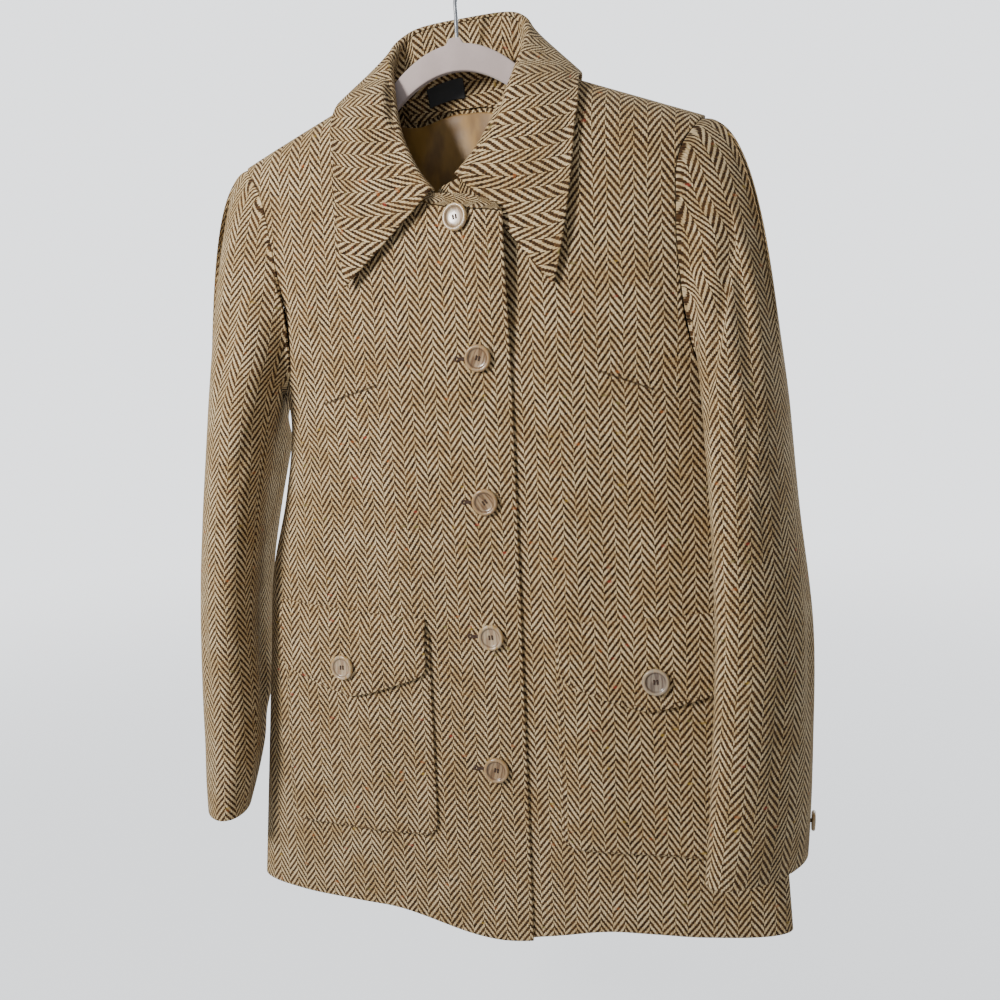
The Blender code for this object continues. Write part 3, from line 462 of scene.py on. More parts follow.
def stretched(tree, vector, scale):
    """A vector with each of its parts scaled."""
    node = tree.nodes.new("ShaderNodeVectorMath")
    node.operation = "MULTIPLY"
    tree.links.new(vector, node.inputs[0])
    node.inputs[1].default_value = scale
    return node.outputs[0]


def noise(tree, vector, scale, detail=2.0):
    """Noise from 0 to 1 whose features are 1 / scale across."""
    node = tree.nodes.new("ShaderNodeTexNoise")
    tree.links.new(vector, node.inputs["Vector"])
    node.inputs["Scale"].default_value = scale
    node.inputs["Detail"].default_value = detail
    return node.outputs["Fac"]


def mixed(tree, share, first, second, blend="MIX"):
    """Two colours mixed by a share."""
    node = tree.nodes.new("ShaderNodeMix")
    node.data_type = "RGBA"
    node.blend_type = blend
    for socket, value in ((node.inputs[0], share), (node.inputs[6], first), (node.inputs[7], second)):
        if isinstance(value, (int, float)):
            socket.default_value = value
        elif isinstance(value, tuple):
            socket.default_value = (*value, 1.0)
        else:
            tree.links.new(value, socket)
    return node.outputs[2]


def new_group(name, inputs, outputs):
    """An empty shader group with named sockets, and the nodes of its two ends."""
    tree = bpy.data.node_groups.new(name, "ShaderNodeTree")
    for direction, sockets in (("INPUT", inputs), ("OUTPUT", outputs)):
        for socket, kind in sockets:
            tree.interface.new_socket(socket, in_out=direction, socket_type="NodeSocket" + kind)
    return tree, tree.nodes.new("NodeGroupInput"), tree.nodes.new("NodeGroupOutput")


def new_finish(name):
    """A new material, its node tree and its shader."""
    made = bpy.data.materials.new(name)
    made.use_nodes = True
    return made, made.node_tree, made.node_tree.nodes["Principled BSDF"]


def bumped(tree, shader, height, strength, distance):
    """Lets a height shape the surface: distance is how far a height of 1 stands out."""
    bump = tree.nodes.new("ShaderNodeBump")
    bump.inputs["Strength"].default_value = strength
    bump.inputs["Distance"].default_value = distance
    tree.links.new(height, bump.inputs["Height"])
    tree.links.new(bump.outputs[0], shader.inputs["Normal"])


def herringbone():
    """Cream warp and brown weft in stripes of diagonals that lean by turns, uneven and flecked, with painted
    shade in the fuzz's hollows and between the warp yarns.
    """
    tree, start, end = new_group(
        "herringbone", [("Cloth", "Vector")], [("Colour", "Color"), ("Height", "Float")])
    cloth = stretched(tree, start.outputs["Cloth"], (1000, 1000, 0))
    parts = tree.nodes.new("ShaderNodeSeparateXYZ")
    tree.links.new(cloth, parts.inputs[0])
    shifted = stretched(tree, cloth, (1.0, -1.0, 1.0))
    across, up = parts.outputs[0], parts.outputs[1]
    for scale, most in ((0.022, 3.4), (0.35, 0.9)):
        waver, drift = (calc(tree, "SUBTRACT", noise(tree, at, scale), 0.5) for at in (cloth, shifted))
        across = calc(tree, "MULTIPLY_ADD", waver, most, across)
        up = calc(tree, "MULTIPLY_ADD", drift, most, up)
    stripe = calc(tree, "FLOOR", calc(tree, "DIVIDE", across, STRIPE))
    odd = calc(tree, "FLOORED_MODULO", stripe, 2.0)
    inside = calc(tree, "SUBTRACT", calc(tree, "MULTIPLY_ADD", stripe, -STRIPE, across), STRIPE / 2)
    count = calc(tree, "FLOOR", calc(tree, "DIVIDE", inside, WARP_PITCH))
    yarn = calc(tree, "MULTIPLY_ADD", count, WARP_PITCH, WARP_PITCH / 2)
    stepped = calc(tree, "MULTIPLY_ADD", calc(tree, "SUBTRACT", yarn, inside), 0.55, inside)
    lean = calc(tree, "MULTIPLY_ADD", odd, -2.0, 1.0)
    phase = calc(tree, "ADD", calc(tree, "DIVIDE", up, REPEAT_UP),
                 calc(tree, "DIVIDE", calc(tree, "MULTIPLY", lean, stepped), REPEAT_ACROSS))
    phase = calc(tree, "MULTIPLY_ADD", odd, 0.42, phase)
    band = calc(tree, "SINE", calc(tree, "MULTIPLY", phase, 2 * math.pi))
    fuzz = calc(tree, "SUBTRACT", noise(tree, cloth, 1.1, 3.0), 0.5)
    ragged = calc(tree, "MULTIPLY_ADD", fuzz, 1.9, band)
    cream = ramped(tree, ragged, -0.22, 0.50)

    warp_round, weft_round = (
        calc(tree, "ABSOLUTE", calc(tree, "SINE", calc(tree, "MULTIPLY", at, math.pi / pitch)))
        for at, pitch in ((inside, WARP_PITCH), (up, WEFT_PITCH)))
    streaks = noise(tree, stretched(tree, cloth, (0.70, 0.05, 1.0)), 1.0)
    picks = noise(tree, stretched(tree, cloth, (0.05, 0.60, 1.0)), 1.0)
    patches = noise(tree, cloth, 0.03)
    shade = calc(tree, "MULTIPLY_ADD", streaks, 0.6, calc(tree, "MULTIPLY", patches, 0.4))
    pale = mixed(tree, ramped(tree, shade, 0.38, 0.62), CREAM_DEEP, CREAM_PALE)
    dark = mixed(tree, ramped(tree, picks, 0.35, 0.68), BROWN_DEEP, BROWN_PALE)
    # Painted shade between the warp yarns: the cream darkens towards each yarn's edge, where it rounds down.
    pale = mixed(tree, ramped(tree, warp_round, 0.0, 0.8, 0.34, 0.0), pale, CREAM_DEEP)
    colour = mixed(tree, cream, dark, pale)

    cells = tree.nodes.new("ShaderNodeTexVoronoi")
    tree.links.new(stretched(tree, cloth, (0.085, 0.16, 1.0)), cells.inputs["Vector"])
    cells.inputs["Scale"].default_value = 1.0
    chance = tree.nodes.new("ShaderNodeSeparateColor")
    tree.links.new(cells.outputs["Color"], chance.inputs[0])
    near = calc(tree, "SUBTRACT", 1.0, ramped(tree, cells.outputs["Distance"], 0.08, 0.30))
    fleck = calc(tree, "MULTIPLY", near, calc(tree, "GREATER_THAN", chance.outputs[0], 0.86))
    hues = tree.nodes.new("ShaderNodeValToRGB")
    hues.color_ramp.interpolation = "CONSTANT"
    while len(hues.color_ramp.elements) < len(FLECKS):
        hues.color_ramp.elements.new(0.5)
    for element, (position, hue) in zip(hues.color_ramp.elements, FLECKS):
        element.position = position
        element.color = (*hue, 1.0)
    tree.links.new(chance.outputs[1], hues.inputs[0])
    colour = mixed(tree, calc(tree, "MULTIPLY", fleck, 0.62), colour, hues.outputs[0])
    # Painted shade: where the fuzz sinks the surface, the colour is drawn towards dark brown.
    fuzz_painted_shade = mixed(tree, 0.5, BROWN_DEEP, colour)
    colour = mixed(tree, ramped(tree, fuzz, -0.25, 0.25, 0.62, 0.0), colour, fuzz_painted_shade)

    height = calc(tree, "MULTIPLY_ADD", cream, 0.50, calc(tree, "MULTIPLY", fuzz, 0.8))
    rounding = calc(tree, "MULTIPLY", calc(tree, "ADD", warp_round, weft_round), 0.22)
    tree.links.new(colour, end.inputs["Colour"])
    tree.links.new(calc(tree, "ADD", height, rounding), end.inputs["Height"])
    return tree


HERRINGBONE = herringbone()


DART_TAKES = 0.0040       # how far the cloth below a dart is drawn along at its wide end


def stitched_dart():
    """A dart: the cloth below it is drawn along by what was sewn away, and its line lies in a groove."""
    tree, start, end = new_group(
        "stitched dart",
        [("Cloth", "Vector"), ("Point", "Vector"), ("Turn", "Float"), ("Length", "Float")],
        [("Cloth", "Vector"), ("Groove", "Float")])
    turned = tree.nodes.new("ShaderNodeVectorRotate")
    turned.rotation_type = "Z_AXIS"
    tree.links.new(start.outputs["Cloth"], turned.inputs["Vector"])
    tree.links.new(start.outputs["Point"], turned.inputs["Center"])
    tree.links.new(start.outputs["Turn"], turned.inputs["Angle"])
    local = tree.nodes.new("ShaderNodeVectorMath")
    local.operation = "SUBTRACT"
    tree.links.new(turned.outputs[0], local.inputs[0])
    tree.links.new(start.outputs["Point"], local.inputs[1])
    parts = tree.nodes.new("ShaderNodeSeparateXYZ")
    tree.links.new(local.outputs[0], parts.inputs[0])
    run = calc(tree, "DIVIDE", parts.outputs[0], start.outputs["Length"])
    on_line = calc(tree, "MULTIPLY", ramped(tree, run, -0.02, 0.03), ramped(tree, run, 0.9, 1.0, 1.0, 0.0))
    off = calc(tree, "ABSOLUTE", parts.outputs[1])
    groove = calc(tree, "MULTIPLY", on_line, ramped(tree, off, 0.0002, 0.0016, 1.0, 0.0))
    below = ramped(tree, parts.outputs[1], -0.0003, 0.0003, 1.0, 0.0)
    fade = ramped(tree, parts.outputs[1], -0.050, -0.002)
    taken = calc(tree, "MULTIPLY", ramped(tree, run, -0.4, 1.05, 1.0, 0.0), DART_TAKES)
    drawn = calc(tree, "MULTIPLY", calc(tree, "MULTIPLY", below, fade), taken)
    made = tree.nodes.new("ShaderNodeCombineXYZ")
    tree.links.new(calc(tree, "MULTIPLY", drawn, 0.6), made.inputs[0])
    tree.links.new(drawn, made.inputs[1])
    moved = tree.nodes.new("ShaderNodeVectorMath")
    moved.operation = "ADD"
    tree.links.new(start.outputs["Cloth"], moved.inputs[0])
    tree.links.new(made.outputs[0], moved.inputs[1])
    tree.links.new(moved.outputs[0], end.inputs["Cloth"])
    tree.links.new(groove, end.inputs["Groove"])
    return tree


STITCHED_DART = stitched_dart()


def tweed(name, dart=None):
    """Brushed wool: dull, with a soft sheen. dart is its wide end, the way it runs and its length."""
    made, tree, shader = new_finish(name)
    cloth = tree.nodes.new("ShaderNodeUVMap")
    cloth.uv_map = "weave"
    at = cloth.outputs["UV"]
    weave = tree.nodes.new("ShaderNodeGroup")
    weave.node_tree = HERRINGBONE
    if dart:
        fold = tree.nodes.new("ShaderNodeGroup")
        fold.node_tree = STITCHED_DART
        tree.links.new(at, fold.inputs["Cloth"])
        (x, y), degrees, length = dart
        fold.inputs["Point"].default_value = (x, y, 0)
        fold.inputs["Turn"].default_value = -math.radians(degrees)
        fold.inputs["Length"].default_value = length
        at = fold.outputs["Cloth"]
    tree.links.new(at, weave.inputs["Cloth"])
    colour, height = weave.outputs["Colour"], weave.outputs["Height"]
    if dart:
        groove = fold.outputs["Groove"]
        # Painted shade in the dart's groove: its line is drawn darker as well as sunk.
        colour = mixed(tree, calc(tree, "MULTIPLY", groove, 0.75), colour, BROWN_DEEP)
        height = calc(tree, "MULTIPLY_ADD", groove, -1.6, height)
    tree.links.new(colour, shader.inputs["Base Color"])
    bumped(tree, shader, height, 0.75, 0.0008)
    shader.inputs["Roughness"].default_value = 0.95
    shader.inputs["Specular IOR Level"].default_value = 0.15
    shader.inputs["Sheen Weight"].default_value = 0.22
    shader.inputs["Sheen Roughness"].default_value = 0.45
    shader.inputs["Sheen Tint"].default_value = (0.80, 0.68, 0.50, 1.0)
    return made


TWEED = tweed("tweed")

# Each front's bust dart: its wide end by the armhole and its point, as real x and height
DARTS = {RIGHT: ((-0.136, -0.3995), (-0.074, -0.3830)), LEFT: ((0.171, -0.3975), (0.122, -0.3785))}
BACK_STRIPES_AT = 0.0035  # how far the back's stripes lie across

for side, word in SIDES:
    net = front_net(side)
    ends = [body_pattern(*np.moveaxis(place(*spot), -1, 0)) for spot in np.array(DARTS[side])]
    reach = ends[1] - ends[0]
    laid = (tuple(ends[0]), math.degrees(math.atan2(reach[1], reach[0])), float(np.hypot(*reach)))
    sew(f"coat_front_{word}", f"front_{word}",
        lambda s, t: front_cloth(side, *net(s, t)),
        lambda s, t: front_cloth(side, *net(s, t), -WALL),
        graded(48, 0.004), graded(112, 0.0012), tweed(f"tweed front {word}", laid),
        lambda s, t, points: body_pattern(*net(s, t)))

sew("coat_back", "back", back_cloth, lambda s, t: back_cloth(s, t, -WALL),
    graded(80, 0.002), graded(96, 0.0012), TWEED,
    lambda s, t, points: body_pattern(*back_net(s, t)) * (-1, 1) + (BACK_STRIPES_AT, 0.0))


# Inside the back: neck facing, lining and label
# The facing is tweed cut across, so that its stripes lie level. Below it hangs golden-brown satin, and a
# bare black ribbon is sewn on it under the hanger.

INSIDE = WALL + 0.0018
FACING_WALL, SKIN = 0.0015, 0.0010
FACING_FOOT = 1 - 0.85 / BACK_UP
SATIN_FOLDS = ((-0.045, -0.170, 0.050, 0.012, 62, 0.0022), (0.005, -0.190, 0.060, 0.016, 108, 0.0020),
               (0.040, -0.160, 0.045, 0.011, 80, 0.0016), (-0.015, -0.145, 0.030, 0.010, 20, 0.0014),
               (-0.080, -0.420, 0.150, 0.020, 86, 0.0016), (0.070, -0.500, 0.160, 0.022, 94, 0.0018),
               (0.010, -0.700, 0.120, 0.020, 90, 0.0016))


def inside_back(depth, folds=()):
    """A sheet within the back, at a depth under its outside."""

    def sheet(s, t):
        c, q = back_net(s, t)
        flat = on_body(BACK, c, q)
        rise = creased(folds, flat[..., 0], flat[..., 2])
        return on_body(BACK, c, q, -depth - np.maximum(rise, -0.0008))

    return sheet


def satin(name, pale, deep, roughness):
    """Satin: fine level ribs, a bright sheen and soft tonal change."""
    made, tree, shader = new_finish(name)
    cloth = tree.nodes.new("ShaderNodeUVMap")
    cloth.uv_map = "weave"
    at = stretched(tree, cloth.outputs["UV"], (1000, 1000, 0))
    tone = noise(tree, stretched(tree, at, (0.05, 0.02, 1.0)), 1.0, 3.0)
    tree.links.new(mixed(tree, ramped(tree, tone, 0.35, 0.65), deep, pale), shader.inputs["Base Color"])
    ribs = noise(tree, stretched(tree, at, (0.3, 6.0, 1.0)), 1.0, 1.0)
    bumped(tree, shader, ribs, 0.25, 0.0002)
    shader.inputs["Roughness"].default_value = roughness
    shader.inputs["Anisotropic"].default_value = 0.4
    shader.inputs["Sheen Weight"].default_value = 0.2
    return made


def level_pattern(s, t, points):
    """Stripes that lie level."""
    return np.stack([points[..., 2], points[..., 0]], axis=-1)


def plumb_pattern(s, t, points):
    """Stripes that hang plumb."""
    return np.stack([points[..., 0], points[..., 2]], axis=-1)


first = 7 / BACK_ACROSS
sew("neck_facing", "back_facing", inside_back(INSIDE), inside_back(INSIDE + FACING_WALL),
    first + (1 - 2 * first) * graded(40, 0.005), FACING_FOOT + (1 - FACING_FOOT) * graded(8, 0.03),
    TWEED, level_pattern)
LINING = satin("golden brown satin", (0.380, 0.205, 0.040), (0.200, 0.100, 0.018), 0.42)
foot, head = 0.6 / BACK_UP, FACING_FOOT - 0.20 / BACK_UP
sew("lining", "back_lining",
    inside_back(INSIDE + LAY, SATIN_FOLDS), inside_back(INSIDE + LAY + SKIN, SATIN_FOLDS),
    0.1 + 0.8 * graded(60, 0.003), foot + (head - foot) * graded(90, 0.002), LINING, plumb_pattern)
RIBBON = satin("black ribbon", (0.012, 0.011, 0.011), (0.006, 0.006, 0.006), 0.5)
depth = INSIDE + FACING_WALL + LAY
sew("bare_label", "label", inside_back(depth), inside_back(depth + SKIN), 0.405 + 0.09 * graded(10, 0.01),
    1 - (0.50 - 0.44 * graded(6, 0.02)) / BACK_UP, RIBBON, plumb_pattern)


# Sleeves
# Two pieces each, a wide top and a narrow under piece, eased into the armhole so that the head puckers a
# little. They hang empty, so the cloth falls in long soft folds with a few crumples at the front of the arm.

SLEEVE_COLUMNS = ("z", "x", "y", "half_thick", "half_wide", "turn", "tilt")
SLEEVES = {
    RIGHT: (
        (-0.425, -0.235, -0.006, 0.036, 0.057, 20, 0.00),
        (-0.500, -0.249, -0.008, 0.033, 0.058, 23, 0.02),
        (-0.600, -0.262, -0.011, 0.030, 0.057, 25, 0.04),
        (-0.700, -0.266, -0.013, 0.031, 0.056, 27, 0.06),
        (-0.740, -0.268, -0.014, 0.030, 0.056, 28, 0.08),
        (-0.775, -0.2735, -0.015, 0.0265, 0.055, 28, 0.09),
        (-0.810, -0.2795, -0.016, 0.0215, 0.054, 28, 0.10),
    ),
    LEFT: (
        (-0.425, 0.246, -0.014, 0.031, 0.056, 22, 0.00),
        (-0.500, 0.252, -0.028, 0.029, 0.058, 25, 0.00),
        (-0.600, 0.259, -0.045, 0.030, 0.057, 32, 0.00),
        (-0.700, 0.257, -0.054, 0.029, 0.057, 36, 0.00),
        (-0.770, 0.254, -0.058, 0.027, 0.057, 39, 0.00),
        (-0.800, 0.252, -0.059, 0.025, 0.057, 41, 0.00),
    ),
}
HEAD = 0.38                               # share of the sleeve that is its head
HEAD_FULLNESS = {RIGHT: 0.55, LEFT: 0.62}
FRONT_SEAM, BACK_SEAM = 0.38, 0.73        # where round the sleeve its two seams run
SLEEVE_SEAM = 0.0013                      # half the gap at a seam, as a share of the way round

# Folds that go in: where round the sleeve, their middle height, half height, half width, slant and depth
FOLD_COLUMNS = ("turn", "z", "half_height", "half_turn", "slant", "depth")
FOLDS = {
    RIGHT: (
        (0.17, -0.330, 0.090, 0.050, 0.0, 0.0035),
        (0.82, -0.340, 0.100, 0.050, 0.0, 0.0050),
        (0.90, -0.600, 0.080, 0.050, 0.0, 0.0030),
        (0.205, -0.262, 0.050, 0.022, 0.3, 0.0022),
        (0.270, -0.290, 0.045, 0.020, 0.5, 0.0020),
        (0.120, -0.250, 0.040, 0.018, 0.2, 0.0016),
        (0.300, -0.440, 0.050, 0.035, 0.9, 0.0024),
        (0.220, -0.520, 0.060, 0.030, 0.7, 0.0018),
        (0.130, -0.640, 0.080, 0.035, -0.4, 0.0020),
        (0.260, -0.700, 0.060, 0.030, 0.5, 0.0016),
        (0.060, -0.470, 0.090, 0.030, 0.2, 0.0014),
        (0.600, -0.500, 0.090, 0.040, 0.4, 0.0026),
        (0.680, -0.420, 0.060, 0.030, -0.5, 0.0022),
    ),
    LEFT: (
        (0.130, -0.330, 0.120, 0.045, 0.0, 0.0070),
        (0.240, -0.470, 0.080, 0.040, 0.0, 0.0030),
        (0.800, -0.350, 0.100, 0.050, 0.0, 0.0050),
        (0.920, -0.620, 0.090, 0.050, 0.0, 0.0035),
        (0.185, -0.312, 0.130, 0.034, -1.3, 0.0090),
        (0.262, -0.312, 0.110, 0.045, -1.3, -0.0025),
        (0.075, -0.290, 0.070, 0.024, 0.2, -0.0020),
        (0.190, -0.420, 0.045, 0.022, 0.8, 0.0042),
        (0.150, -0.455, 0.050, 0.020, -0.7, 0.0036),
        (0.105, -0.500, 0.050, 0.022, 0.5, 0.0018),
        (0.260, -0.590, 0.080, 0.030, 0.3, 0.0018),
        (0.060, -0.680, 0.080, 0.030, -0.2, 0.0018),
        (0.190, -0.730, 0.050, 0.026, 0.4, 0.0014),
        (0.640, -0.480, 0.090, 0.040, -0.4, 0.0026),
        (0.700, -0.640, 0.080, 0.040, 0.3, 0.0020),
    ),
}
# Puckers where the sleeve's head is eased in: where round the armhole, half width and depth
PUCKERS = {
    RIGHT: ((0.06, 0.016, 0.0016), (0.115, 0.012, 0.0022), (0.155, 0.011, 0.0016), (0.90, 0.018, 0.0018)),
    LEFT: ((0.05, 0.014, 0.0014), (0.10, 0.012, 0.0018), (0.15, 0.013, 0.0018), (0.92, 0.018, 0.0016)),
}
SWELL = {RIGHT: 0.0095, LEFT: 0.0012}     # how far the sleeve's front edge stands proud along the armhole
RESTS_OUT, RESTS_GAP = 0.016, 0.0012      # how far the right under sleeve swings in, and then keeps off


def bow(start, end, leave, arrive, share):
    """Curves from start to end that set off along one vector and come in along another."""
    s = share[..., None]
    return (start * (2 * s ** 3 - 3 * s ** 2 + 1) + leave * (s ** 3 - 2 * s ** 2 + s)
            + end * (3 * s ** 2 - 2 * s ** 3) + arrive * (s ** 3 - s ** 2))


def armhole_points(side, turn):
    """Points of the armhole and the way the body's cloth runs there, 0 at the shoulder, 0.5 underarm."""
    found = []
    for face, edge in ((FRONT, FRONT_ARMHOLE), (BACK, BACK_ARMHOLE)):
        share = np.clip(turn * 2 if face == FRONT else (1 - turn) * 2, 0, 1)
        x, z = np.moveaxis(along(edge, share), -1, 0)
        c, q = np.moveaxis(to_sheet(x, z), -1, 0)
        point = on_body(face, side * c, q)
        down = smoothstep(0.55, 1.0, share)
        c, q = np.moveaxis(to_sheet(x - 0.006 * (1 - down), z - 0.006 * down), -1, 0)
        found.append((point, unit(point - on_body(face, side * c, q))))
    front = (turn <= 0.5)[..., None]
    return tuple(np.where(front, a, b) for a, b in zip(*found))


def clear_of_side(point, gap):
    """Moves points of a sleeve level until they lie at least gap off the body's side."""
    width = eased(BODY, 1, point[..., 2]) + gap
    depth = np.where(point[..., 1] < 0, eased(BODY, 2, point[..., 2]), eased(BODY, 3, point[..., 2])) + gap
    middle = eased(BODY, 4, point[..., 2])
    x, y = abs(point[..., 0] - middle), abs(point[..., 1])
    for _ in range(4):
        short = np.maximum(1 - (x / width) ** SQUARENESS - (y / depth) ** SQUARENESS, 0)
        slope_x = SQUARENESS * x ** (SQUARENESS - 1) / width ** SQUARENESS
        slope_y = SQUARENESS * y ** (SQUARENESS - 1) / depth ** SQUARENESS
        step = short / (slope_x ** 2 + slope_y ** 2)
        x, y = x + slope_x * step, y + slope_y * step
    return np.stack([middle + np.copysign(x, point[..., 0] - middle), np.copysign(y, point[..., 1]),
                     point[..., 2]], axis=-1)


def sleeve_gap(z):
    """How far a sleeve keeps off the body: more where it passes the flap and the pocket."""
    flap = smoothstep(-0.560, -0.585, z) * (1 - smoothstep(-0.685, -0.715, z))
    pocket = smoothstep(-0.560, -0.585, z) * (1 - smoothstep(-0.815, -0.835, z))
    return 0.0028 + 0.0034 * pocket + 0.0036 * flap


def sleeve_ring(side, z, turn):
    """Points of a section of the sleeve: 0 is its outer side, 0.25 the front, 0.5 the side by the body."""
    x, y, thick, wide, twist, tilt = (eased(SLEEVES[side], k, z) for k in range(1, 7))
    angle = turn * 2 * math.pi
    twist = -side * np.radians(twist)
    flat_x, flat_y = side * np.cos(angle) * thick, -np.sin(angle) * wide
    turned_x = flat_x * np.cos(twist) - flat_y * np.sin(twist)
    turned_y = flat_x * np.sin(twist) + flat_y * np.cos(twist)
    return np.stack([x + turned_x, y + turned_y, z + np.sin(angle) * wide * tilt], axis=-1)


def sleeve_point(side, turn, down):
    """Points of the sleeve's outside: down 0 at the armhole, 1 at the cuff."""
    turn, down = np.broadcast_arrays(turn % 1.0, down)
    rows = SLEEVES[side]
    top, cuff = rows[0][0], rows[-1][0]
    hanging = sleeve_ring(side, top + (cuff - top) * np.clip((down - HEAD) / (1 - HEAD), 0, 1), turn)
    seam, leave = armhole_points(side, turn)
    start = seam + leave * (SEAM + 0.0018 * smoothstep(0.22, 0.08, abs(turn - 0.5)))[..., None]
    end = sleeve_ring(side, np.full_like(turn, top), turn)
    span = np.linalg.norm(end - start, axis=-1, keepdims=True)
    fall = unit(sleeve_ring(side, np.full_like(turn, top - 0.02), turn) - end) * span
    full = (HEAD_FULLNESS[side] * (1 - 0.6 * np.sin(math.pi * turn) ** 8))[..., None]
    head = bow(start, end, leave * span * full, fall, np.clip(down / HEAD, 0, 1))
    point = np.where((down > HEAD)[..., None], hanging, head)
    z = point[..., 2]
    middle = np.stack([eased(rows, 1, z), eased(rows, 2, z), z], axis=-1)
    depth = np.zeros_like(turn)
    for fold_turn, fold_z, half_height, half_turn, slant, deep in FOLDS[side]:
        high = (z - fold_z) / half_height
        apart = ((turn - fold_turn - slant * (z - fold_z) + 0.5) % 1.0 - 0.5) / half_turn
        held = (abs(apart) < 1) & (abs(high) < 1)
        depth += np.where(held, deep * (1 - apart ** 2) ** 2 * (1 - high ** 2) ** 2, 0.0)
    by_seam = smoothstep(0.0, 0.012, down) * np.exp(-((down - 0.02) / 0.045) ** 2)
    for pucker_turn, half_turn, deep in PUCKERS[side]:
        apart = ((turn - pucker_turn + 0.5) % 1.0 - 0.5) / half_turn
        depth += deep * np.exp(-apart ** 2) * by_seam
    depth *= smoothstep(0.0, 0.02, down)
    proud = np.exp(-((turn - 0.29) / 0.085) ** 2) * smoothstep(0.0, 0.045, down)
    depth -= SWELL[side] * proud * (1 - 0.55 * smoothstep(-0.36, -0.46, z)) * smoothstep(-0.70, -0.55, z)
    point = point + unit(middle - point) * depth[..., None]
    near = smoothstep(-0.372, -0.390, point[..., 2]) * np.minimum(down / 0.04, 1.0)
    gap = sleeve_gap(point[..., 2])
    if side == RIGHT:
        rests = smoothstep(-0.400, -0.440, point[..., 2]) * smoothstep(-0.725, -0.680, point[..., 2])
        rests = rests * np.exp(-((turn - 0.60) / 0.085) ** 2)
        point = point + (rests * RESTS_OUT)[..., None] * unit(point - middle)
        gap = gap + (RESTS_GAP - gap) * smoothstep(-0.008, 0.006, point[..., 1])
    return point + (clear_of_side(point, gap) - point) * near[..., None]


def sleeve_inside(side, turn, down):
    """Points of the sleeve's inside, a wall's thickness in."""
    step = 0.003
    up, low = np.maximum(down - step, 0.0), np.minimum(down + step, 1.0)
    round_it = sleeve_point(side, turn + step, down) - sleeve_point(side, turn - step, down)
    along_it = sleeve_point(side, turn, low) - sleeve_point(side, turn, up)
    return sleeve_point(side, turn, down) - unit(np.cross(round_it, along_it)) * WALL * side


def measured_pattern(shift=(0.0, 0.0)):
    """Lays the weave out by the cloth's own lengths, from its middle column."""

    def pattern(s, t, points):
        middle = points.shape[1] // 2
        steps = np.linalg.norm(np.diff(points, axis=1), axis=-1)
        across = np.concatenate([np.zeros((len(points), 1)), np.cumsum(steps, axis=1)], axis=1)
        across -= across[:, middle:middle + 1]
        rows = np.linalg.norm(np.diff(points[:, middle], axis=0), axis=-1)
        up = np.concatenate([[0.0], np.cumsum(rows)])[:, None] + np.zeros_like(across)
        return np.stack([across, up], axis=-1) + shift

    return pattern


def hanging_pattern(middle):
    """Stripes that hang plumb on a tube: across is measured level, from the middle column."""

    def pattern(s, t, points):
        columns = range(points.shape[1])
        heights = np.maximum.accumulate(points[..., 2], axis=0)
        levels = np.linspace(heights.min(), heights.max(), 160)
        spots = np.stack([[np.interp(levels, heights[:, i], points[:, i, k]) for i in columns]
                          for k in (0, 1)])
        steps = np.hypot(*np.diff(spots, axis=1))
        table = np.concatenate([np.zeros((1, len(levels))), np.cumsum(steps, axis=0)])
        table -= table[middle]
        across = np.stack([np.interp(points[:, i, 2], levels, table[i]) for i in columns], axis=1)
        return np.stack([across, points[..., 2]], axis=-1)

    return pattern


for side, word in SIDES:
    for piece, low, high, across in (("top", BACK_SEAM - 1 + SLEEVE_SEAM, FRONT_SEAM - SLEEVE_SEAM, 44),
                                     ("under", FRONT_SEAM + SLEEVE_SEAM, BACK_SEAM - SLEEVE_SEAM, 24)):
        def turned(s):
            return low + (high - low) * (s if side == RIGHT else 1 - s)
        crown = round(across * (-low if side == RIGHT else high) / (high - low))
        sew(f"coat_sleeve_{piece}_{word}", f"sleeve_{piece}_{word}",
            lambda s, t: sleeve_point(side, turned(s), 1 - t),
            lambda s, t: sleeve_inside(side, turned(s), 1 - t),
            graded(across, 0.005), graded(110, 0.0016), TWEED,
            hanging_pattern(crown if piece == "top" else across // 2))


# Collar
# A neckband stands round the neck and a pointed collar falls over it from a soft roll. Both are cut across,
# so that the stripes stand up at the nape and lie level on the collar's fronts.

COLLAR_COLUMNS = ("share", "top_x", "top_y", "top_z", "edge_x", "edge_run", "edge_lift")
COLLAR = (
    (0.00, -0.0120, -0.0480, -0.2190, -0.1010, 0.183, 0.0105),
    (0.09, -0.0270, -0.0440, -0.1990, -0.1045, 0.148, 0.0095),
    (0.18, -0.0430, -0.0340, -0.1660, -0.1060, 0.111, 0.0085),
    (0.27, -0.0530, -0.0190, -0.1270, -0.1070, 0.073, 0.0075),
    (0.35, -0.0600, 0.0020, -0.0880, -0.1080, 0.033, 0.0065),
    (0.42, -0.0520, 0.0230, -0.0630, -0.0950, -0.031, 0.0065),
    (0.50, 0.0000, 0.0345, -0.0540, 0.0000, -0.060, 0.0065),
    (0.58, 0.0520, 0.0230, -0.0610, 0.0970, -0.031, 0.0065),
    (0.65, 0.0600, 0.0020, -0.0890, 0.1110, 0.033, 0.0065),
    (0.73, 0.0520, -0.0170, -0.1270, 0.1090, 0.073, 0.0075),
    (0.82, 0.0390, -0.0290, -0.1580, 0.1050, 0.116, 0.0085),
    (0.91, 0.0220, -0.0350, -0.1870, 0.0985, 0.160, 0.0085),
    (1.00, 0.0040, -0.0375, -0.2060, 0.0890, 0.204, 0.0055),
)
BAND_RIGHT_END = (-0.130, 0.0440, -0.0480, -0.2345)
BAND_RIGHT_MIDDLE = (-0.060, 0.0160, -0.0490, -0.2260)
BAND_LEFT_END = (1.055, -0.0140, -0.0365, -0.2170)
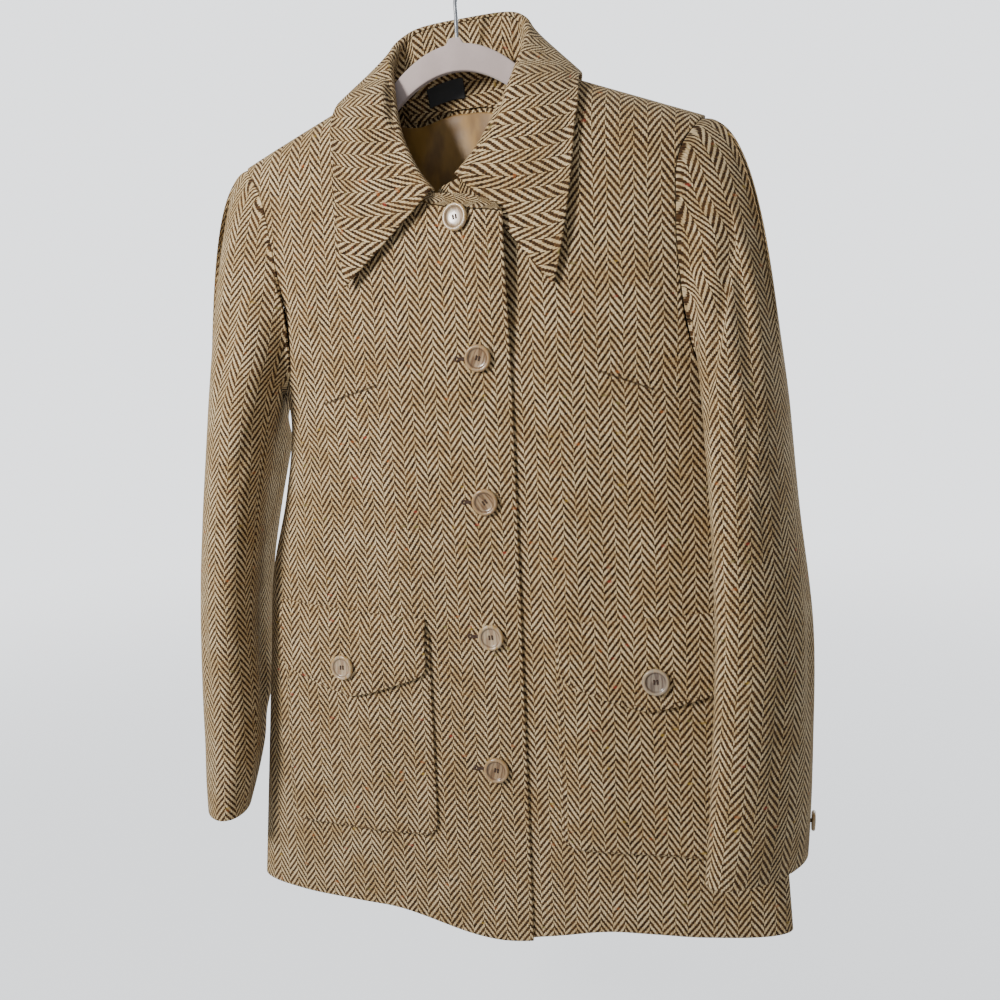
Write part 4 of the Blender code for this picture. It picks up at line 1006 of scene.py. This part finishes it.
NECK_SHARE = 0.33         # of the collar's length, the part on each front
ROLL = 0.0044             # radius of the roll's outside
BAND_HOLLOW = 0.0015      # how far the neckband bows in
ROLL_TO_FALL = 4 / 9      # share of the collar's rows that go over the roll


def along_rows(rows, share):
    """Points from the second to the fourth column of a table, against its first column."""
    return np.stack([eased(rows, k, share) for k in (1, 2, 3)], axis=-1)


def neck_edge(share, lift=0.0):
    """Points of the panels' neck edge, for the collar's share from the wearer's right."""
    s = np.clip(YOKE + (1 - 2 * YOKE) * (share - NECK_SHARE) / (1 - 2 * NECK_SHARE), YOKE, 1 - YOKE)
    point = back_cloth(s, np.ones_like(s), lift)
    for side, low, held in ((RIGHT, BAND_RIGHT_END[0], share < NECK_SHARE),
                            (LEFT, BAND_LEFT_END[0], share > 1 - NECK_SHARE)):
        far = NECK_SHARE if side == RIGHT else 1 - NECK_SHARE
        s = np.clip((share - low) / (far - low), 0, 1) * NECK_COLUMNS / FRONT_ACROSS
        front = front_cloth(side, *front_net(side)(s, np.ones_like(s)), lift)
        point = np.where(held[..., None], front, point)
    return point


def collar_edge(share):
    """The collar's free edge, laid over the body."""
    x, run, lift = (eased(COLLAR, k, share) for k in (4, 5, 6))
    c = np.copysign(np.interp(abs(x) / BODY[0][1], SECTION_WIDTH, SECTION_RUN), x)
    found = []
    for face in (FRONT, BACK):
        level = on_body(face, c, abs(run))[..., 2]
        found.append(on_body(face, place(x, level)[..., 0], abs(run), lift))
    return np.where((run > 0)[..., None], *found)


def roll_frame(share):
    """At some shares of the collar: the middle of the roll, and the ways up and out of it."""
    way = np.where(share < 0.5, 1, -1)
    top, nearby = (along_rows(COLLAR, at) for at in (share, share + 0.01 * way))
    run = unit(nearby - top) * way[..., None]

    def square(vectors):
        return unit(vectors - run * (vectors * run).sum(axis=-1, keepdims=True))

    up = -(square(collar_edge(share) - top) + square(neck_edge(share) - top))
    size = np.linalg.norm(up, axis=-1, keepdims=True)
    up = np.where(size > 0.2, up / np.maximum(size, 1e-9), (0.0, 0.0, 1.0))
    return top - up * ROLL, up, unit(np.cross(up, run))


def clear_of_body(point, lift):
    """Moves points out until they lie at least lift off the body's outside."""
    x = point[..., 0] - eased(BODY, 4, point[..., 2])
    width = np.minimum(abs(x) / eased(BODY, 1, point[..., 2]), 1.0)
    deep = np.where(point[..., 1] < 0, eased(BODY, 2, point[..., 2]), eased(BODY, 3, point[..., 2]))
    depth = np.interp(width, SECTION_WIDTH, SECTION_DEPTH) * deep + lift
    middle_z = ridge_z(x) - RIDGE_RISE
    above = point[..., 2] - middle_z
    reach = np.minimum(np.hypot(point[..., 1] / depth, above / (RIDGE_RISE + lift)), 1.0)
    low_y = np.copysign(np.maximum(abs(point[..., 1]), depth), point[..., 1])
    under = point[..., 2] < middle_z
    y = np.where(under, low_y, point[..., 1] / reach)
    z = np.where(under, point[..., 2], middle_z + above / reach)
    return np.stack([point[..., 0], y, z], axis=-1)


# Soft waves of the collar's fall: where along it, where down it, half sizes and height
COLLAR_WAVES = ((0.10, 0.62, 0.050, 0.20, 0.0022), (0.22, 0.80, 0.040, 0.15, 0.0014),
                (0.34, 0.70, 0.030, 0.22, 0.0018), (0.50, 0.75, 0.070, 0.20, 0.0012),
                (0.66, 0.72, 0.030, 0.22, 0.0018), (0.78, 0.78, 0.040, 0.14, 0.0014),
                (0.90, 0.66, 0.045, 0.18, 0.0020))


def roll_over(s, t, radius):
    """Points that go over the roll at a radius from its middle."""
    middle, up, out = roll_frame(s)
    turn = (np.minimum(t / ROLL_TO_FALL, 1.0) * math.pi)[..., None]
    return middle + (-out * np.cos(turn) + up * np.sin(turn)) * radius


def fall_shape(s, t):
    """The collar's fall: over the roll from the top of the band, then down to the free edge."""
    up = roll_frame(s)[1]
    over = roll_over(s, t, ROLL)
    share = np.clip((t - ROLL_TO_FALL) / (1 - ROLL_TO_FALL), 0, 1)
    edge = collar_edge(s)
    leave = roll_over(s, np.full_like(t, ROLL_TO_FALL), ROLL)
    span = np.linalg.norm(edge - leave, axis=-1, keepdims=True)
    laid = bow(leave, edge, -up * span * 0.55, unit(edge - leave) * span * 0.8, share)
    beneath = smoothstep(0.86, 0.98, s)
    rise = sum(high * np.exp(-((s - at) / half) ** 2 - ((t - down) / deep) ** 2)
               for at, down, half, deep, high in COLLAR_WAVES) * (1 - beneath)
    lift = 0.0036 - 0.0028 * beneath + 0.004 * (1 - 0.7 * beneath) * np.sin(math.pi * share)
    laid = clear_of_body(laid, lift + rise)
    return np.where((t <= ROLL_TO_FALL)[..., None], over, laid)


def fall_inside(s, t):
    """The underside of the fall, a wall's thickness in."""
    step = 0.004
    s0, s1 = np.maximum(s - step, 0), np.minimum(s + step, 1)
    t0, t1 = np.maximum(t - step, ROLL_TO_FALL), np.minimum(np.maximum(t, ROLL_TO_FALL) + step, 1)
    normal = unit(np.cross(fall_shape(s1, t) - fall_shape(s0, t), fall_shape(s, t1) - fall_shape(s, t0)))
    under_roll, under_fall = roll_over(s, t, ROLL - WALL), fall_shape(s, t) - normal * WALL
    return np.where((t <= ROLL_TO_FALL)[..., None], under_roll, under_fall)


def band_top(share, depth):
    """The top of the neckband, under the roll, or its own free edge past the collar's ends."""

    def covered(share):
        middle, up, out = roll_frame(share)
        return middle - out * (ROLL - WALL + depth) - up * SEAM

    ends = covered(np.array([0.0, 1.0]))
    right = along_rows((BAND_RIGHT_END, BAND_RIGHT_MIDDLE, (0.0, *ends[0])), share)
    left = along_rows(((1.0, *ends[1]), BAND_LEFT_END), share)
    free = np.where((share < 0)[..., None], right, left) + (0, depth, 0)
    inside = (share >= 0) & (share <= 1)
    return np.where(inside[..., None], covered(np.clip(share, 0, 1)), free)


def band_shape(depth):
    """The neckband at a depth in from its outside, from the neck edge up to the roll."""

    def shape(s, t):
        share = BAND_RIGHT_END[0] + (BAND_LEFT_END[0] - BAND_RIGHT_END[0]) * s
        top = band_top(share, depth)
        base = neck_edge(share, -depth)
        inside = smoothstep(0.0, 0.03, share) * (1 - smoothstep(0.97, 1.0, share))
        base = base + unit(top - base) * (CURVED_SEAM * (1 + inside))[..., None]
        ends = np.minimum(np.minimum(s / 0.02, (1 - s) / 0.015), 1.0)
        drop = 0.35 * (top[..., 2] - base[..., 2]) * (1 - np.sqrt(np.maximum(1 - (1 - ends) ** 2, 0.0)))
        top = top - drop[..., None] * (0, 0, 1)
        hollow = roll_frame(np.clip(share, 0, 1))[2] * (BAND_HOLLOW * inside * np.sin(math.pi * t))[..., None]
        return base + (top - base) * t[..., None] - hollow

    return shape


sew("collar_band", "neckband", band_shape(0.0), band_shape(WALL), graded(110, 0.003), graded(8, 0.03), TWEED,
    measured_pattern((0.0058, 0.0)))
sew("collar_fall", "collar", fall_shape, fall_inside, graded(108, 0.003), graded(27, 0.006), TWEED,
    measured_pattern((0.0058, 0.003)))


# Pockets and their flaps
# Patch pockets with round lower corners, and flaps with a blunt point sewn on above them. Both are turned
# under and stitched close to the edge.

POCKET_INNER, POCKET_OUTER = 0.060, 0.217
POCKET_TOP_Z, POCKET_BOTTOM_Z, POCKET_CORNER = -0.614, -0.811, 0.014
FLAP_INNER, FLAP_OUTER = 0.063, 0.219
FLAP_TOP_Z, FLAP_TOP_RISE = -0.600, 0.012
FLAP_SIDE_Z, FLAP_POINT_Z = -0.652, -0.677
STITCH_PITCH = 0.0042


def pocket_spot(side, s, t):
    """Real x and height of the places on a pocket."""
    z = POCKET_BOTTOM_Z + (POCKET_TOP_Z - POCKET_BOTTOM_Z) * t
    short = np.maximum(POCKET_CORNER - (z - POCKET_BOTTOM_Z), 0.0)
    cut = POCKET_CORNER - np.sqrt(POCKET_CORNER ** 2 - short ** 2)
    inner, outer = POCKET_INNER + cut, POCKET_OUTER - cut
    return BUTTON_LINE_X + side * (inner + (outer - inner) * s), z


def pocket_shape(side, lift):
    """A pocket raised by lift over where it lies on the front."""

    def shape(s, t):
        return front_point(side, *pocket_spot(side, s, t ** 1.3), LAY + lift)

    return shape


def flap_spot(side, s, t):
    """Real x and height of the places on a flap: its lower edge has a blunt point and rounded corners."""
    across = abs(2 * s - 1)
    corner = np.maximum(across - 0.90, 0.0) / 0.10
    bottom = FLAP_POINT_Z + (FLAP_SIDE_Z - FLAP_POINT_Z) * across ** 1.25 + 0.007 * corner ** 2
    top = FLAP_TOP_Z + FLAP_TOP_RISE * s
    return BUTTON_LINE_X + side * (FLAP_INNER + (FLAP_OUTER - FLAP_INNER) * s), bottom + (top - bottom) * t


def flap_shape(side, lift):
    """A flap raised by lift: its upper part lies on the front, its lower part on the pocket."""

    def shape(s, t):
        over_pocket = (WALL + LAY) * (1 - smoothstep(0.72, 0.97, t)) + 0.0012 * (1 - t) ** 2
        return front_point(side, *flap_spot(side, s, t), LAY + WALL + over_pocket + lift)

    return shape


def moved_pattern(shift):
    """Stripes that hang plumb, moved a little from the front's."""
    return lambda s, t, points: plumb_pattern(s, t, points) + shift


for side, word in SIDES:
    sew(f"patch_pocket_{word}", f"pocket_{word}", pocket_shape(side, WALL), pocket_shape(side, 0.0),
        graded(30, 0.008), graded(36, 0.006), TWEED, moved_pattern((0.0045, 0.002)))
    sew(f"pocket_flap_{word}", f"flap_{word}", flap_shape(side, 0.0), flap_shape(side, -WALL),
        graded(34, 0.008), graded(16, 0.014), TWEED, moved_pattern((-0.003, 0.004)))


def thread_finish():
    """Dark brown buttonhole twist."""
    made, tree, shader = new_finish("brown thread")
    spot = tree.nodes.new("ShaderNodeTexCoord")
    twist = noise(tree, spot.outputs["Object"], 1800.0)
    colour = mixed(tree, twist, (0.020, 0.010, 0.006), (0.085, 0.040, 0.022))
    tree.links.new(colour, shader.inputs["Base Color"])
    bumped(tree, shader, twist, 0.6, 0.0003)
    shader.inputs["Roughness"].default_value = 0.8
    return made


THREAD = thread_finish()


def pick_stitches(name, line):
    """Short sunk stitches at even distances along a line of points."""
    steps = np.linalg.norm(np.diff(line, axis=0), axis=-1)
    run = np.concatenate([[0.0], np.cumsum(steps)])
    marks = np.arange(STITCH_PITCH / 2, run[-1], STITCH_PITCH)
    spots = np.stack([np.interp(marks, run, line[:, k]) for k in range(3)], axis=-1)
    ways = np.stack([np.interp(marks + 0.0005, run, line[:, k]) for k in range(3)], axis=-1) - spots
    bm = bmesh.new()
    for spot, way in zip(spots, ways):
        if np.linalg.norm(way) < 1e-6:
            continue
        pose = Vector(way).to_track_quat("Z", "X").to_matrix().to_4x4()
        pose.translation = spot
        bmesh.ops.create_uvsphere(bm, u_segments=8, v_segments=6, radius=0.00045,
                                  matrix=pose @ Matrix.Diagonal((1.0, 1.0, 2.4, 1.0)))
    to_piece(to_mesh(bm, name), THREAD)


def edge_line(surface, inset_s, low_t, high_t, count=60):
    """Down one side of a sheet, along its foot and up the other side, a little in from the edge."""
    up, across = np.linspace(high_t, low_t, count), np.linspace(inset_s, 1 - inset_s, count)
    s = np.concatenate([np.full(count, inset_s), across, np.full(count, 1 - inset_s)])
    t = np.concatenate([up, np.full(count, low_t), up[::-1]])
    return surface(s, t)


for side, word in SIDES:
    pick_stitches(f"pocket_stitches_{word}", edge_line(pocket_shape(side, WALL), 0.016, 0.022, 0.86))
    pick_stitches(f"flap_stitches_{word}", edge_line(flap_shape(side, 0.0), 0.018, 0.050, 0.97))


# Buttons
# Turned from horn-like resin, each with a raised rim, four holes and two bars of brown thread. The two on
# the flaps and one at each cuff are sewn through. The lower four front ones pass stitched keyhole buttonholes.

BUTTON_RADIUS, BUTTON_THICK = 0.0120, 0.0042
FRONT_BUTTONS = ((0.0060, -0.2440), (BUTTON_LINE_X, -0.3640), (BUTTON_LINE_X, -0.4910),
                 (BUTTON_LINE_X, -0.6150), (BUTTON_LINE_X, -0.7410))
FLAP_BUTTON_SHARE, FLAP_BUTTON_UP = 0.54, 0.33
CUFF_BUTTON_TURN, CUFF_BUTTON_DOWN = 0.83, 0.950
CUFF_BUTTON_SCALE = 0.72
BUTTON_STAND = 0.0008                         # off the cloth
HOLE_RADIUS, HOLE_OUT = 0.00095, 0.0019       # of each hole, and of its middle from the button's middle
STRAND_RADIUS, STRAND_OFF = 0.0004, 0.00032   # of the thread, and of each strand from the bar's middle
BUTTON_COLUMNS = ("radius", "height")
BUTTON_PROFILE = (
    (0.000, 0.00), (0.78, 0.00), (0.90, 0.06), (0.97, 0.22), (1.00, 0.45), (0.99, 0.70), (0.95, 0.90),
    (0.88, 1.00), (0.80, 0.97), (0.74, 0.86), (0.70, 0.72), (0.64, 0.62), (0.52, 0.56), (0.30, 0.53),
    (0.000, 0.52),
)


def horn(name, rim, middle, streak, ring):
    """Polished horn-like resin: streaks along one way, and a darker ring inside the rim."""
    made, tree, shader = new_finish(name)
    disc = tree.nodes.new("ShaderNodeUVMap")
    disc.uv_map = "disc"
    at = disc.outputs["UV"]
    grain = noise(tree, stretched(tree, at, (5.0, 0.7, 1.0)), 1.0, 4.0)
    fine = noise(tree, stretched(tree, at, (22.0, 2.0, 1.0)), 1.0, 2.0)
    length = tree.nodes.new("ShaderNodeVectorMath")
    length.operation = "LENGTH"
    tree.links.new(at, length.inputs[0])
    out = length.outputs["Value"]
    figure = calc(tree, "MULTIPLY_ADD", fine, 0.35, calc(tree, "MULTIPLY", grain, 0.65))
    colour = mixed(tree, ramped(tree, figure, 0.42, 0.60), streak, middle)
    edge = mixed(tree, ramped(tree, grain, 0.4, 0.6), rim, middle)
    colour = mixed(tree, ramped(tree, out, 0.72, 0.86), colour, edge)
    band = calc(tree, "MULTIPLY", ramped(tree, out, 0.60, 0.70), ramped(tree, out, 0.70, 0.80, 1.0, 0.0))
    colour = mixed(tree, calc(tree, "MULTIPLY", band, 0.6), colour, ring)
    tree.links.new(colour, shader.inputs["Base Color"])
    bumped(tree, shader, fine, 0.10, 0.0002)
    tree.links.new(ramped(tree, grain, 0.3, 0.7, 0.22, 0.36), shader.inputs["Roughness"])
    shader.inputs["Coat Weight"].default_value = 0.25
    shader.inputs["Coat Roughness"].default_value = 0.12
    shader.inputs["Subsurface Weight"].default_value = 0.08
    shader.inputs["Subsurface Scale"].default_value = 0.002
    return made


HORN_COLUMNS = ("rim", "middle", "streak", "ring")
HORN_COLOURS = {
    "pale": ((0.40, 0.25, 0.09), (0.48, 0.37, 0.24), (0.30, 0.20, 0.12), (0.10, 0.052, 0.020)),
    "brown": ((0.36, 0.22, 0.09), (0.36, 0.24, 0.13), (0.15, 0.085, 0.040), (0.09, 0.045, 0.020)),
    "grey": ((0.44, 0.33, 0.19), (0.33, 0.26, 0.19), (0.14, 0.10, 0.075), (0.10, 0.07, 0.045)),
}
HORN = {name: horn(f"{name} horn", *colours) for name, colours in HORN_COLOURS.items()}


def turned_button():
    """The button's mesh about its own middle, with four holes, made once for them all."""
    bm = bmesh.new()
    points = [Vector((r * BUTTON_RADIUS, 0, h * BUTTON_THICK)) for r, h in BUTTON_PROFILE]
    verts = [bm.verts.new(p) for p in points]
    edges = [bm.edges.new(pair) for pair in zip(verts, verts[1:])]
    bmesh.ops.spin(bm, geom=verts + edges, cent=(0, 0, 0), axis=(0, 0, 1), angle=2 * math.pi, steps=56,
                   use_merge=True)
    bmesh.ops.remove_doubles(bm, verts=bm.verts, dist=1e-6)
    bmesh.ops.recalc_face_normals(bm, faces=bm.faces)
    blank = bpy.data.objects.new("blank", to_mesh(bm, "turned button"))
    bm = bmesh.new()
    for k in range(4):
        spot = Matrix.Rotation(math.pi / 4 + k * math.pi / 2, 4, "Z") @ Matrix.Translation((HOLE_OUT, 0, 0))
        bmesh.ops.create_cone(bm, cap_ends=True, segments=14, radius1=HOLE_RADIUS, radius2=HOLE_RADIUS,
                              depth=0.02, matrix=spot)
    drill = bpy.data.objects.new("drill", to_mesh(bm, "drill"))
    for obj in (blank, drill):
        bpy.context.scene.collection.objects.link(obj)
    cut = blank.modifiers.new("Holes", "BOOLEAN")
    cut.operation = "DIFFERENCE"
    cut.object = drill
    graph = bpy.context.evaluated_depsgraph_get()
    graph.update()
    drilled = bpy.data.meshes.new_from_object(blank.evaluated_get(graph))
    for obj in (blank, drill):
        bpy.data.objects.remove(obj, do_unlink=True)
    layer = drilled.uv_layers.new(name="disc")
    for loop in drilled.loops:
        spot = drilled.vertices[loop.vertex_index].co
        layer.uv[loop.index].vector = (spot.x / BUTTON_RADIUS, spot.y / BUTTON_RADIUS)
    drilled.shade_smooth()
    drilled.set_sharp_from_angle(angle=math.radians(40))
    return drilled


def sewn_thread():
    """Two bars of thread through the holes, and the shank of thread under the button."""
    bm = bmesh.new()

    def strand(length, pose):
        bmesh.ops.create_cone(bm, cap_ends=True, segments=8, radius1=STRAND_RADIUS, radius2=STRAND_RADIUS,
                              depth=length, matrix=pose)

    reach = HOLE_OUT * math.cos(math.pi / 4)
    for x in (-reach - STRAND_OFF, -reach + STRAND_OFF, reach - STRAND_OFF, reach + STRAND_OFF):
        bar = Matrix.Translation((x, 0, BUTTON_THICK * 0.60)) @ Matrix.Rotation(math.pi / 2, 4, "X")
        strand(2 * (reach + STRAND_RADIUS), bar)
        for y in (-reach, reach):
            strand(BUTTON_THICK * 0.62, Matrix.Translation((x, y, BUTTON_THICK * 0.28)))
    bmesh.ops.create_cone(bm, cap_ends=True, segments=14, radius1=0.0024, radius2=0.0020, depth=0.0014,
                          matrix=Matrix.Translation((0, 0, -0.0004)))
    mesh = to_mesh(bm, "sewn thread")
    mesh.set_sharp_from_angle(angle=math.radians(50))
    return mesh


BUTTON_MESH, THREAD_MESH = turned_button(), sewn_thread()


def set_button(node, foot, normal, colour, degrees, scale=1.0):
    """Sews a button on at foot, its grain and thread turned by some degrees from upright."""
    normal = Vector(normal)
    upright = (Vector((0, 0, 1)) - normal * normal.z).normalized()
    level = upright.cross(normal)
    pose = Matrix((level, upright, normal)).transposed().to_4x4()
    pose.translation = Vector(foot) + normal * BUTTON_STAND
    pose = pose @ Matrix.Rotation(math.radians(degrees), 4, "Z") @ Matrix.Scale(scale, 4)
    for name, source, finish, stands_for in ((f"horn_{node}", BUTTON_MESH, HORN[colour], node),
                                             (f"thread_{node}", THREAD_MESH, THREAD, None)):
        mesh = source.copy()
        mesh.name = name
        mesh.transform(pose)
        mesh.materials.clear()
        to_piece(mesh, finish, stands_for)


def seat(surface, a, b, step):
    """A place on a surface of two values, and the way out of it."""
    a, b = np.array([a, a + step, a]), np.array([b, b, b + step])
    here, along_a, along_b = surface(a, b)
    return here, unit(np.cross(along_a - here, along_b - here))


LOOKS = (("pale", 8), ("brown", -20), ("brown", 35), ("pale", 5), ("brown", -12))
for i, ((x, z), (colour, degrees)) in enumerate(zip(FRONT_BUTTONS, LOOKS)):
    foot, normal = seat(lambda a, b: front_point(RIGHT, a, b), x, z, 0.004)
    set_button(f"button_{i + 1}", foot, normal if normal[1] < 0 else -normal, colour, degrees)
for side, word, colour in ((RIGHT, "right", "pale"), (LEFT, "left", "grey")):
    foot, normal = seat(flap_shape(side, 0.0), FLAP_BUTTON_SHARE, FLAP_BUTTON_UP, 0.03)
    set_button(f"flap_button_{word}", foot, normal if normal[1] < 0 else -normal, colour, 2)
    foot, normal = seat(lambda a, b: sleeve_point(side, a, b), CUFF_BUTTON_TURN, CUFF_BUTTON_DOWN, 0.01)
    middle = np.array([SLEEVES[side][-1][1], SLEEVES[side][-1][2], foot[2]])
    outward = normal if normal @ (foot - middle) > 0 else -normal
    set_button(f"cuff_button_{word}", foot, outward, "pale", 0, CUFF_BUTTON_SCALE)

# Keyhole buttonholes: a cord of brown stitches round a slit that starts under the button and ends in an eye
HOLE_START, HOLE_END = 0.0060, -0.0205        # from the button's middle
EYE_RADIUS, SLIT_HALF = 0.0017, 0.0007
for i, (x, z) in enumerate(FRONT_BUTTONS[1:]):
    eye = [(HOLE_END + EYE_RADIUS * math.cos(a), EYE_RADIUS * math.sin(a))
           for a in np.radians(np.linspace(30, 330, 13))]
    outline = [(HOLE_START, SLIT_HALF)] + [(b, SLIT_HALF) for b in np.linspace(0, HOLE_END + 0.003, 8)] + eye
    outline += [(b, -SLIT_HALF) for b in np.linspace(HOLE_END + 0.003, 0, 8)] + [(HOLE_START, -SLIT_HALF)]
    outline = np.array(outline)
    line = front_point(RIGHT, x + outline[:, 0], z + outline[:, 1], 0.0003)
    curve = bpy.data.curves.new(f"buttonhole_{i + 2}", "CURVE")
    curve.dimensions = "3D"
    curve.bevel_depth = 0.00085
    curve.bevel_resolution = 2
    spline = curve.splines.new("POLY")
    spline.points.add(len(line) - 1)
    for point, spot in zip(spline.points, line):
        point.co = (*spot, 1)
    spline.use_cyclic_u = True
    to_piece(curve, THREAD)


# Hanger
# A thin flocked body that follows the shoulder seams and arches between them, with a polished wire hook that
# turns in a stub at the top of the arch.

HANGER_THICK, HANGER_HALF, HANGER_DEEP = 0.0060, 0.203, 0.023
HANGER_ARCH_Z, HANGER_NECK_Z = -0.090, -0.085
WIRE_RADIUS, HOOK_RADIUS, SHANK_TOP_Z = 0.0018, 0.0200, -0.052


def hanger_edge(x):
    """The hanger's arch, without its stub."""
    return HANGER_ARCH_Z - 0.62 * x * x / NECK_HALF


def hanger_top_z(x):
    """Height of the hanger's top: the arch with its stub, and the shoulder seams further out."""
    x = abs(x)
    under_seam = ridge_z(x) - WALL - 0.0026
    share = smoothstep(0.050, 0.092, x)
    stub = (HANGER_NECK_Z - HANGER_ARCH_Z) * (1 - smoothstep(0.0045, 0.0085, x))
    return hanger_edge(x) * (1 - share) + under_seam * share + stub


def flock():
    """Short soft flock: dull, with a fine grain and a pale bloom at grazing angles."""
    made, tree, shader = new_finish("flock")
    spot = tree.nodes.new("ShaderNodeTexCoord").outputs["Object"]
    grain = noise(tree, spot, 2600.0)
    cloud = noise(tree, spot, 35.0)
    colour = mixed(tree, ramped(tree, cloud, 0.35, 0.65), (0.455, 0.370, 0.350), (0.520, 0.430, 0.410))
    colour = mixed(tree, ramped(tree, grain, 0.35, 0.65, 0.25, 0.0), colour, (0.330, 0.260, 0.245))
    tree.links.new(colour, shader.inputs["Base Color"])
    bumped(tree, shader, grain, 0.35, 0.0003)
    shader.inputs["Roughness"].default_value = 0.95
    shader.inputs["Sheen Weight"].default_value = 0.5
    return made


bm = bmesh.new()
bmesh.ops.create_grid(bm, x_segments=180, y_segments=4, size=1.0)
for vert in bm.verts:
    share, up = vert.co.x, (vert.co.y + 1) / 2
    x = HANGER_HALF * math.copysign(abs(share) ** 1.35, share)
    tip = math.sqrt(max(1 - float(smoothstep(0.92, 1.0, abs(x) / HANGER_HALF)) ** 2, 0.12))
    high = float(hanger_top_z(x))
    low = min(high, hanger_edge(x) if abs(x) < 0.02 else high) - HANGER_DEEP
    vert.co = (x, -HANGER_THICK / 2, (high + low) / 2 + (high - low) * (up - 0.5) * tip)
bm.normal_update()
bmesh.ops.solidify(bm, geom=bm.faces, thickness=-HANGER_THICK)
bmesh.ops.recalc_face_normals(bm, faces=bm.faces)
hanger = to_piece(to_mesh(bm, "flocked_hanger"), flock(), "hanger")
rounded = hanger.modifiers.new("Round edges", "BEVEL")
rounded.width = 0.0018
rounded.segments = 4
rounded.limit_method = "ANGLE"
rounded.angle_limit = math.radians(50)

path = [(0.0, HANGER_NECK_Z - 0.003), (0.0, -0.074), (0.0, -0.063), (0.0, SHANK_TOP_Z)]
for degrees in range(-55, 206, 13):
    angle = math.radians(degrees)
    path.append((HOOK_RADIUS * math.cos(angle), WIRE_RADIUS - HOOK_RADIUS + HOOK_RADIUS * math.sin(angle)))
curve = bpy.data.curves.new("wire_hook", "CURVE")
curve.dimensions = "3D"
curve.bevel_depth = WIRE_RADIUS
curve.bevel_resolution = 6
curve.use_fill_caps = True
spline = curve.splines.new("POLY")
line = along(path, np.linspace(0, 1, 120))
spline.points.add(len(line) - 1)
for point, (x, z) in zip(spline.points, line):
    point.co = (x, 0, z, 1)
steel, tree, shader = new_finish("polished wire")
shader.inputs["Metallic"].default_value = 1.0
spot = tree.nodes.new("ShaderNodeTexCoord").outputs["Object"]
smear = noise(tree, stretched(tree, spot, (1.0, 1.0, 0.2)), 900.0)
tree.links.new(ramped(tree, smear, 0.3, 0.7, 0.20, 0.36), shader.inputs["Roughness"])
tree.links.new(mixed(tree, smear, (0.36, 0.38, 0.41), (0.50, 0.52, 0.55)), shader.inputs["Base Color"])
to_piece(curve, steel, "hook")


# Floor, lights and camera
# A plain pale floor well below the coat that fades into a pale surround, a soft key from the front left, a
# light on the back, and the camera at the photograph's viewing angle.

FLOOR_Z, FLOOR_SIZE = -1.25, 30.0
FADE_START, FADE_END = 0.4, 4.5               # how far from the middle the floor begins and ends fading
SURROUND, SURROUND_SEEN = 0.46, 1.75          # the surround's strength, and what the camera sees besides
bm = bmesh.new()
bmesh.ops.create_grid(bm, x_segments=1, y_segments=1, size=FLOOR_SIZE)
bmesh.ops.translate(bm, verts=bm.verts, vec=(0, 0, FLOOR_Z))
mesh = to_mesh(bm, "floor")
floor_finish, tree, shader = new_finish("pale floor")
shader.inputs["Base Color"].default_value = (0.84, 0.86, 0.89, 1)
shader.inputs["Roughness"].default_value = 0.9
length = tree.nodes.new("ShaderNodeVectorMath")
length.operation = "LENGTH"
tree.links.new(tree.nodes.new("ShaderNodeTexCoord").outputs["Object"], length.inputs[0])
fade = ramped(tree, length.outputs["Value"], FADE_START, FADE_END, 0.5, 0.0)
tree.links.new(fade, shader.inputs["Alpha"])
mesh.materials.append(floor_finish)
floor = bpy.data.objects.new("floor", mesh)
bpy.context.scene.collection.objects.link(floor)

world = bpy.data.worlds.new("studio")
world.use_nodes = True
tree = world.node_tree
background = tree.nodes["Background"]
background.inputs["Color"].default_value = (0.94, 0.965, 1.0, 1)
seen = tree.nodes.new("ShaderNodeLightPath").outputs["Is Camera Ray"]
strength = calc(tree, "MULTIPLY_ADD", seen, SURROUND_SEEN, SURROUND)
tree.links.new(strength, background.inputs["Strength"])
bpy.context.scene.world = world


def soft_box(name, spot, aim, size, watts, colour):
    """A square area light that faces a point."""
    lamp = bpy.data.lights.new(name, "AREA")
    lamp.size = size
    lamp.energy = watts
    lamp.color = colour
    obj = bpy.data.objects.new(name, lamp)
    obj.location = spot
    obj.rotation_mode = "QUATERNION"
    obj.rotation_quaternion = (Vector(aim) - Vector(spot)).to_track_quat("-Z", "Y")
    bpy.context.scene.collection.objects.link(obj)


soft_box("key", (-0.78, -1.08, 0.08), (0.0, 0.0, -0.42), 0.26, 27, (1.0, 0.975, 0.94))
soft_box("back", (0.90, 1.50, 0.40), (0.0, 0.0, -0.45), 0.90, 22, (0.95, 0.975, 1.0))

CAMERA_SPOT = (0.258, -0.828, -0.387)
YAW, PITCH, ROLL_ANGLE = (math.radians(d) for d in (15.9, 7.1, -2.35))
FOCAL_PIXELS, FRAME_PIXELS = 932.0, 1000.0
forward = Vector((-math.sin(YAW) * math.cos(PITCH), math.cos(YAW) * math.cos(PITCH), -math.sin(PITCH)))
level = Vector((math.cos(YAW), math.sin(YAW), 0))
upward = level.cross(forward)
right = level * math.cos(ROLL_ANGLE) + upward * math.sin(ROLL_ANGLE)
upward = upward * math.cos(ROLL_ANGLE) - level * math.sin(ROLL_ANGLE)
lens = bpy.data.cameras.new("camera")
lens.sensor_width = 36.0
lens.lens = FOCAL_PIXELS / FRAME_PIXELS * lens.sensor_width
lens.clip_start = 0.01
camera = bpy.data.objects.new("camera", lens)
pose = Matrix((right, upward, -forward)).transposed().to_4x4()
pose.translation = CAMERA_SPOT
camera.matrix_world = pose
bpy.context.scene.collection.objects.link(camera)
bpy.context.scene.camera = camera
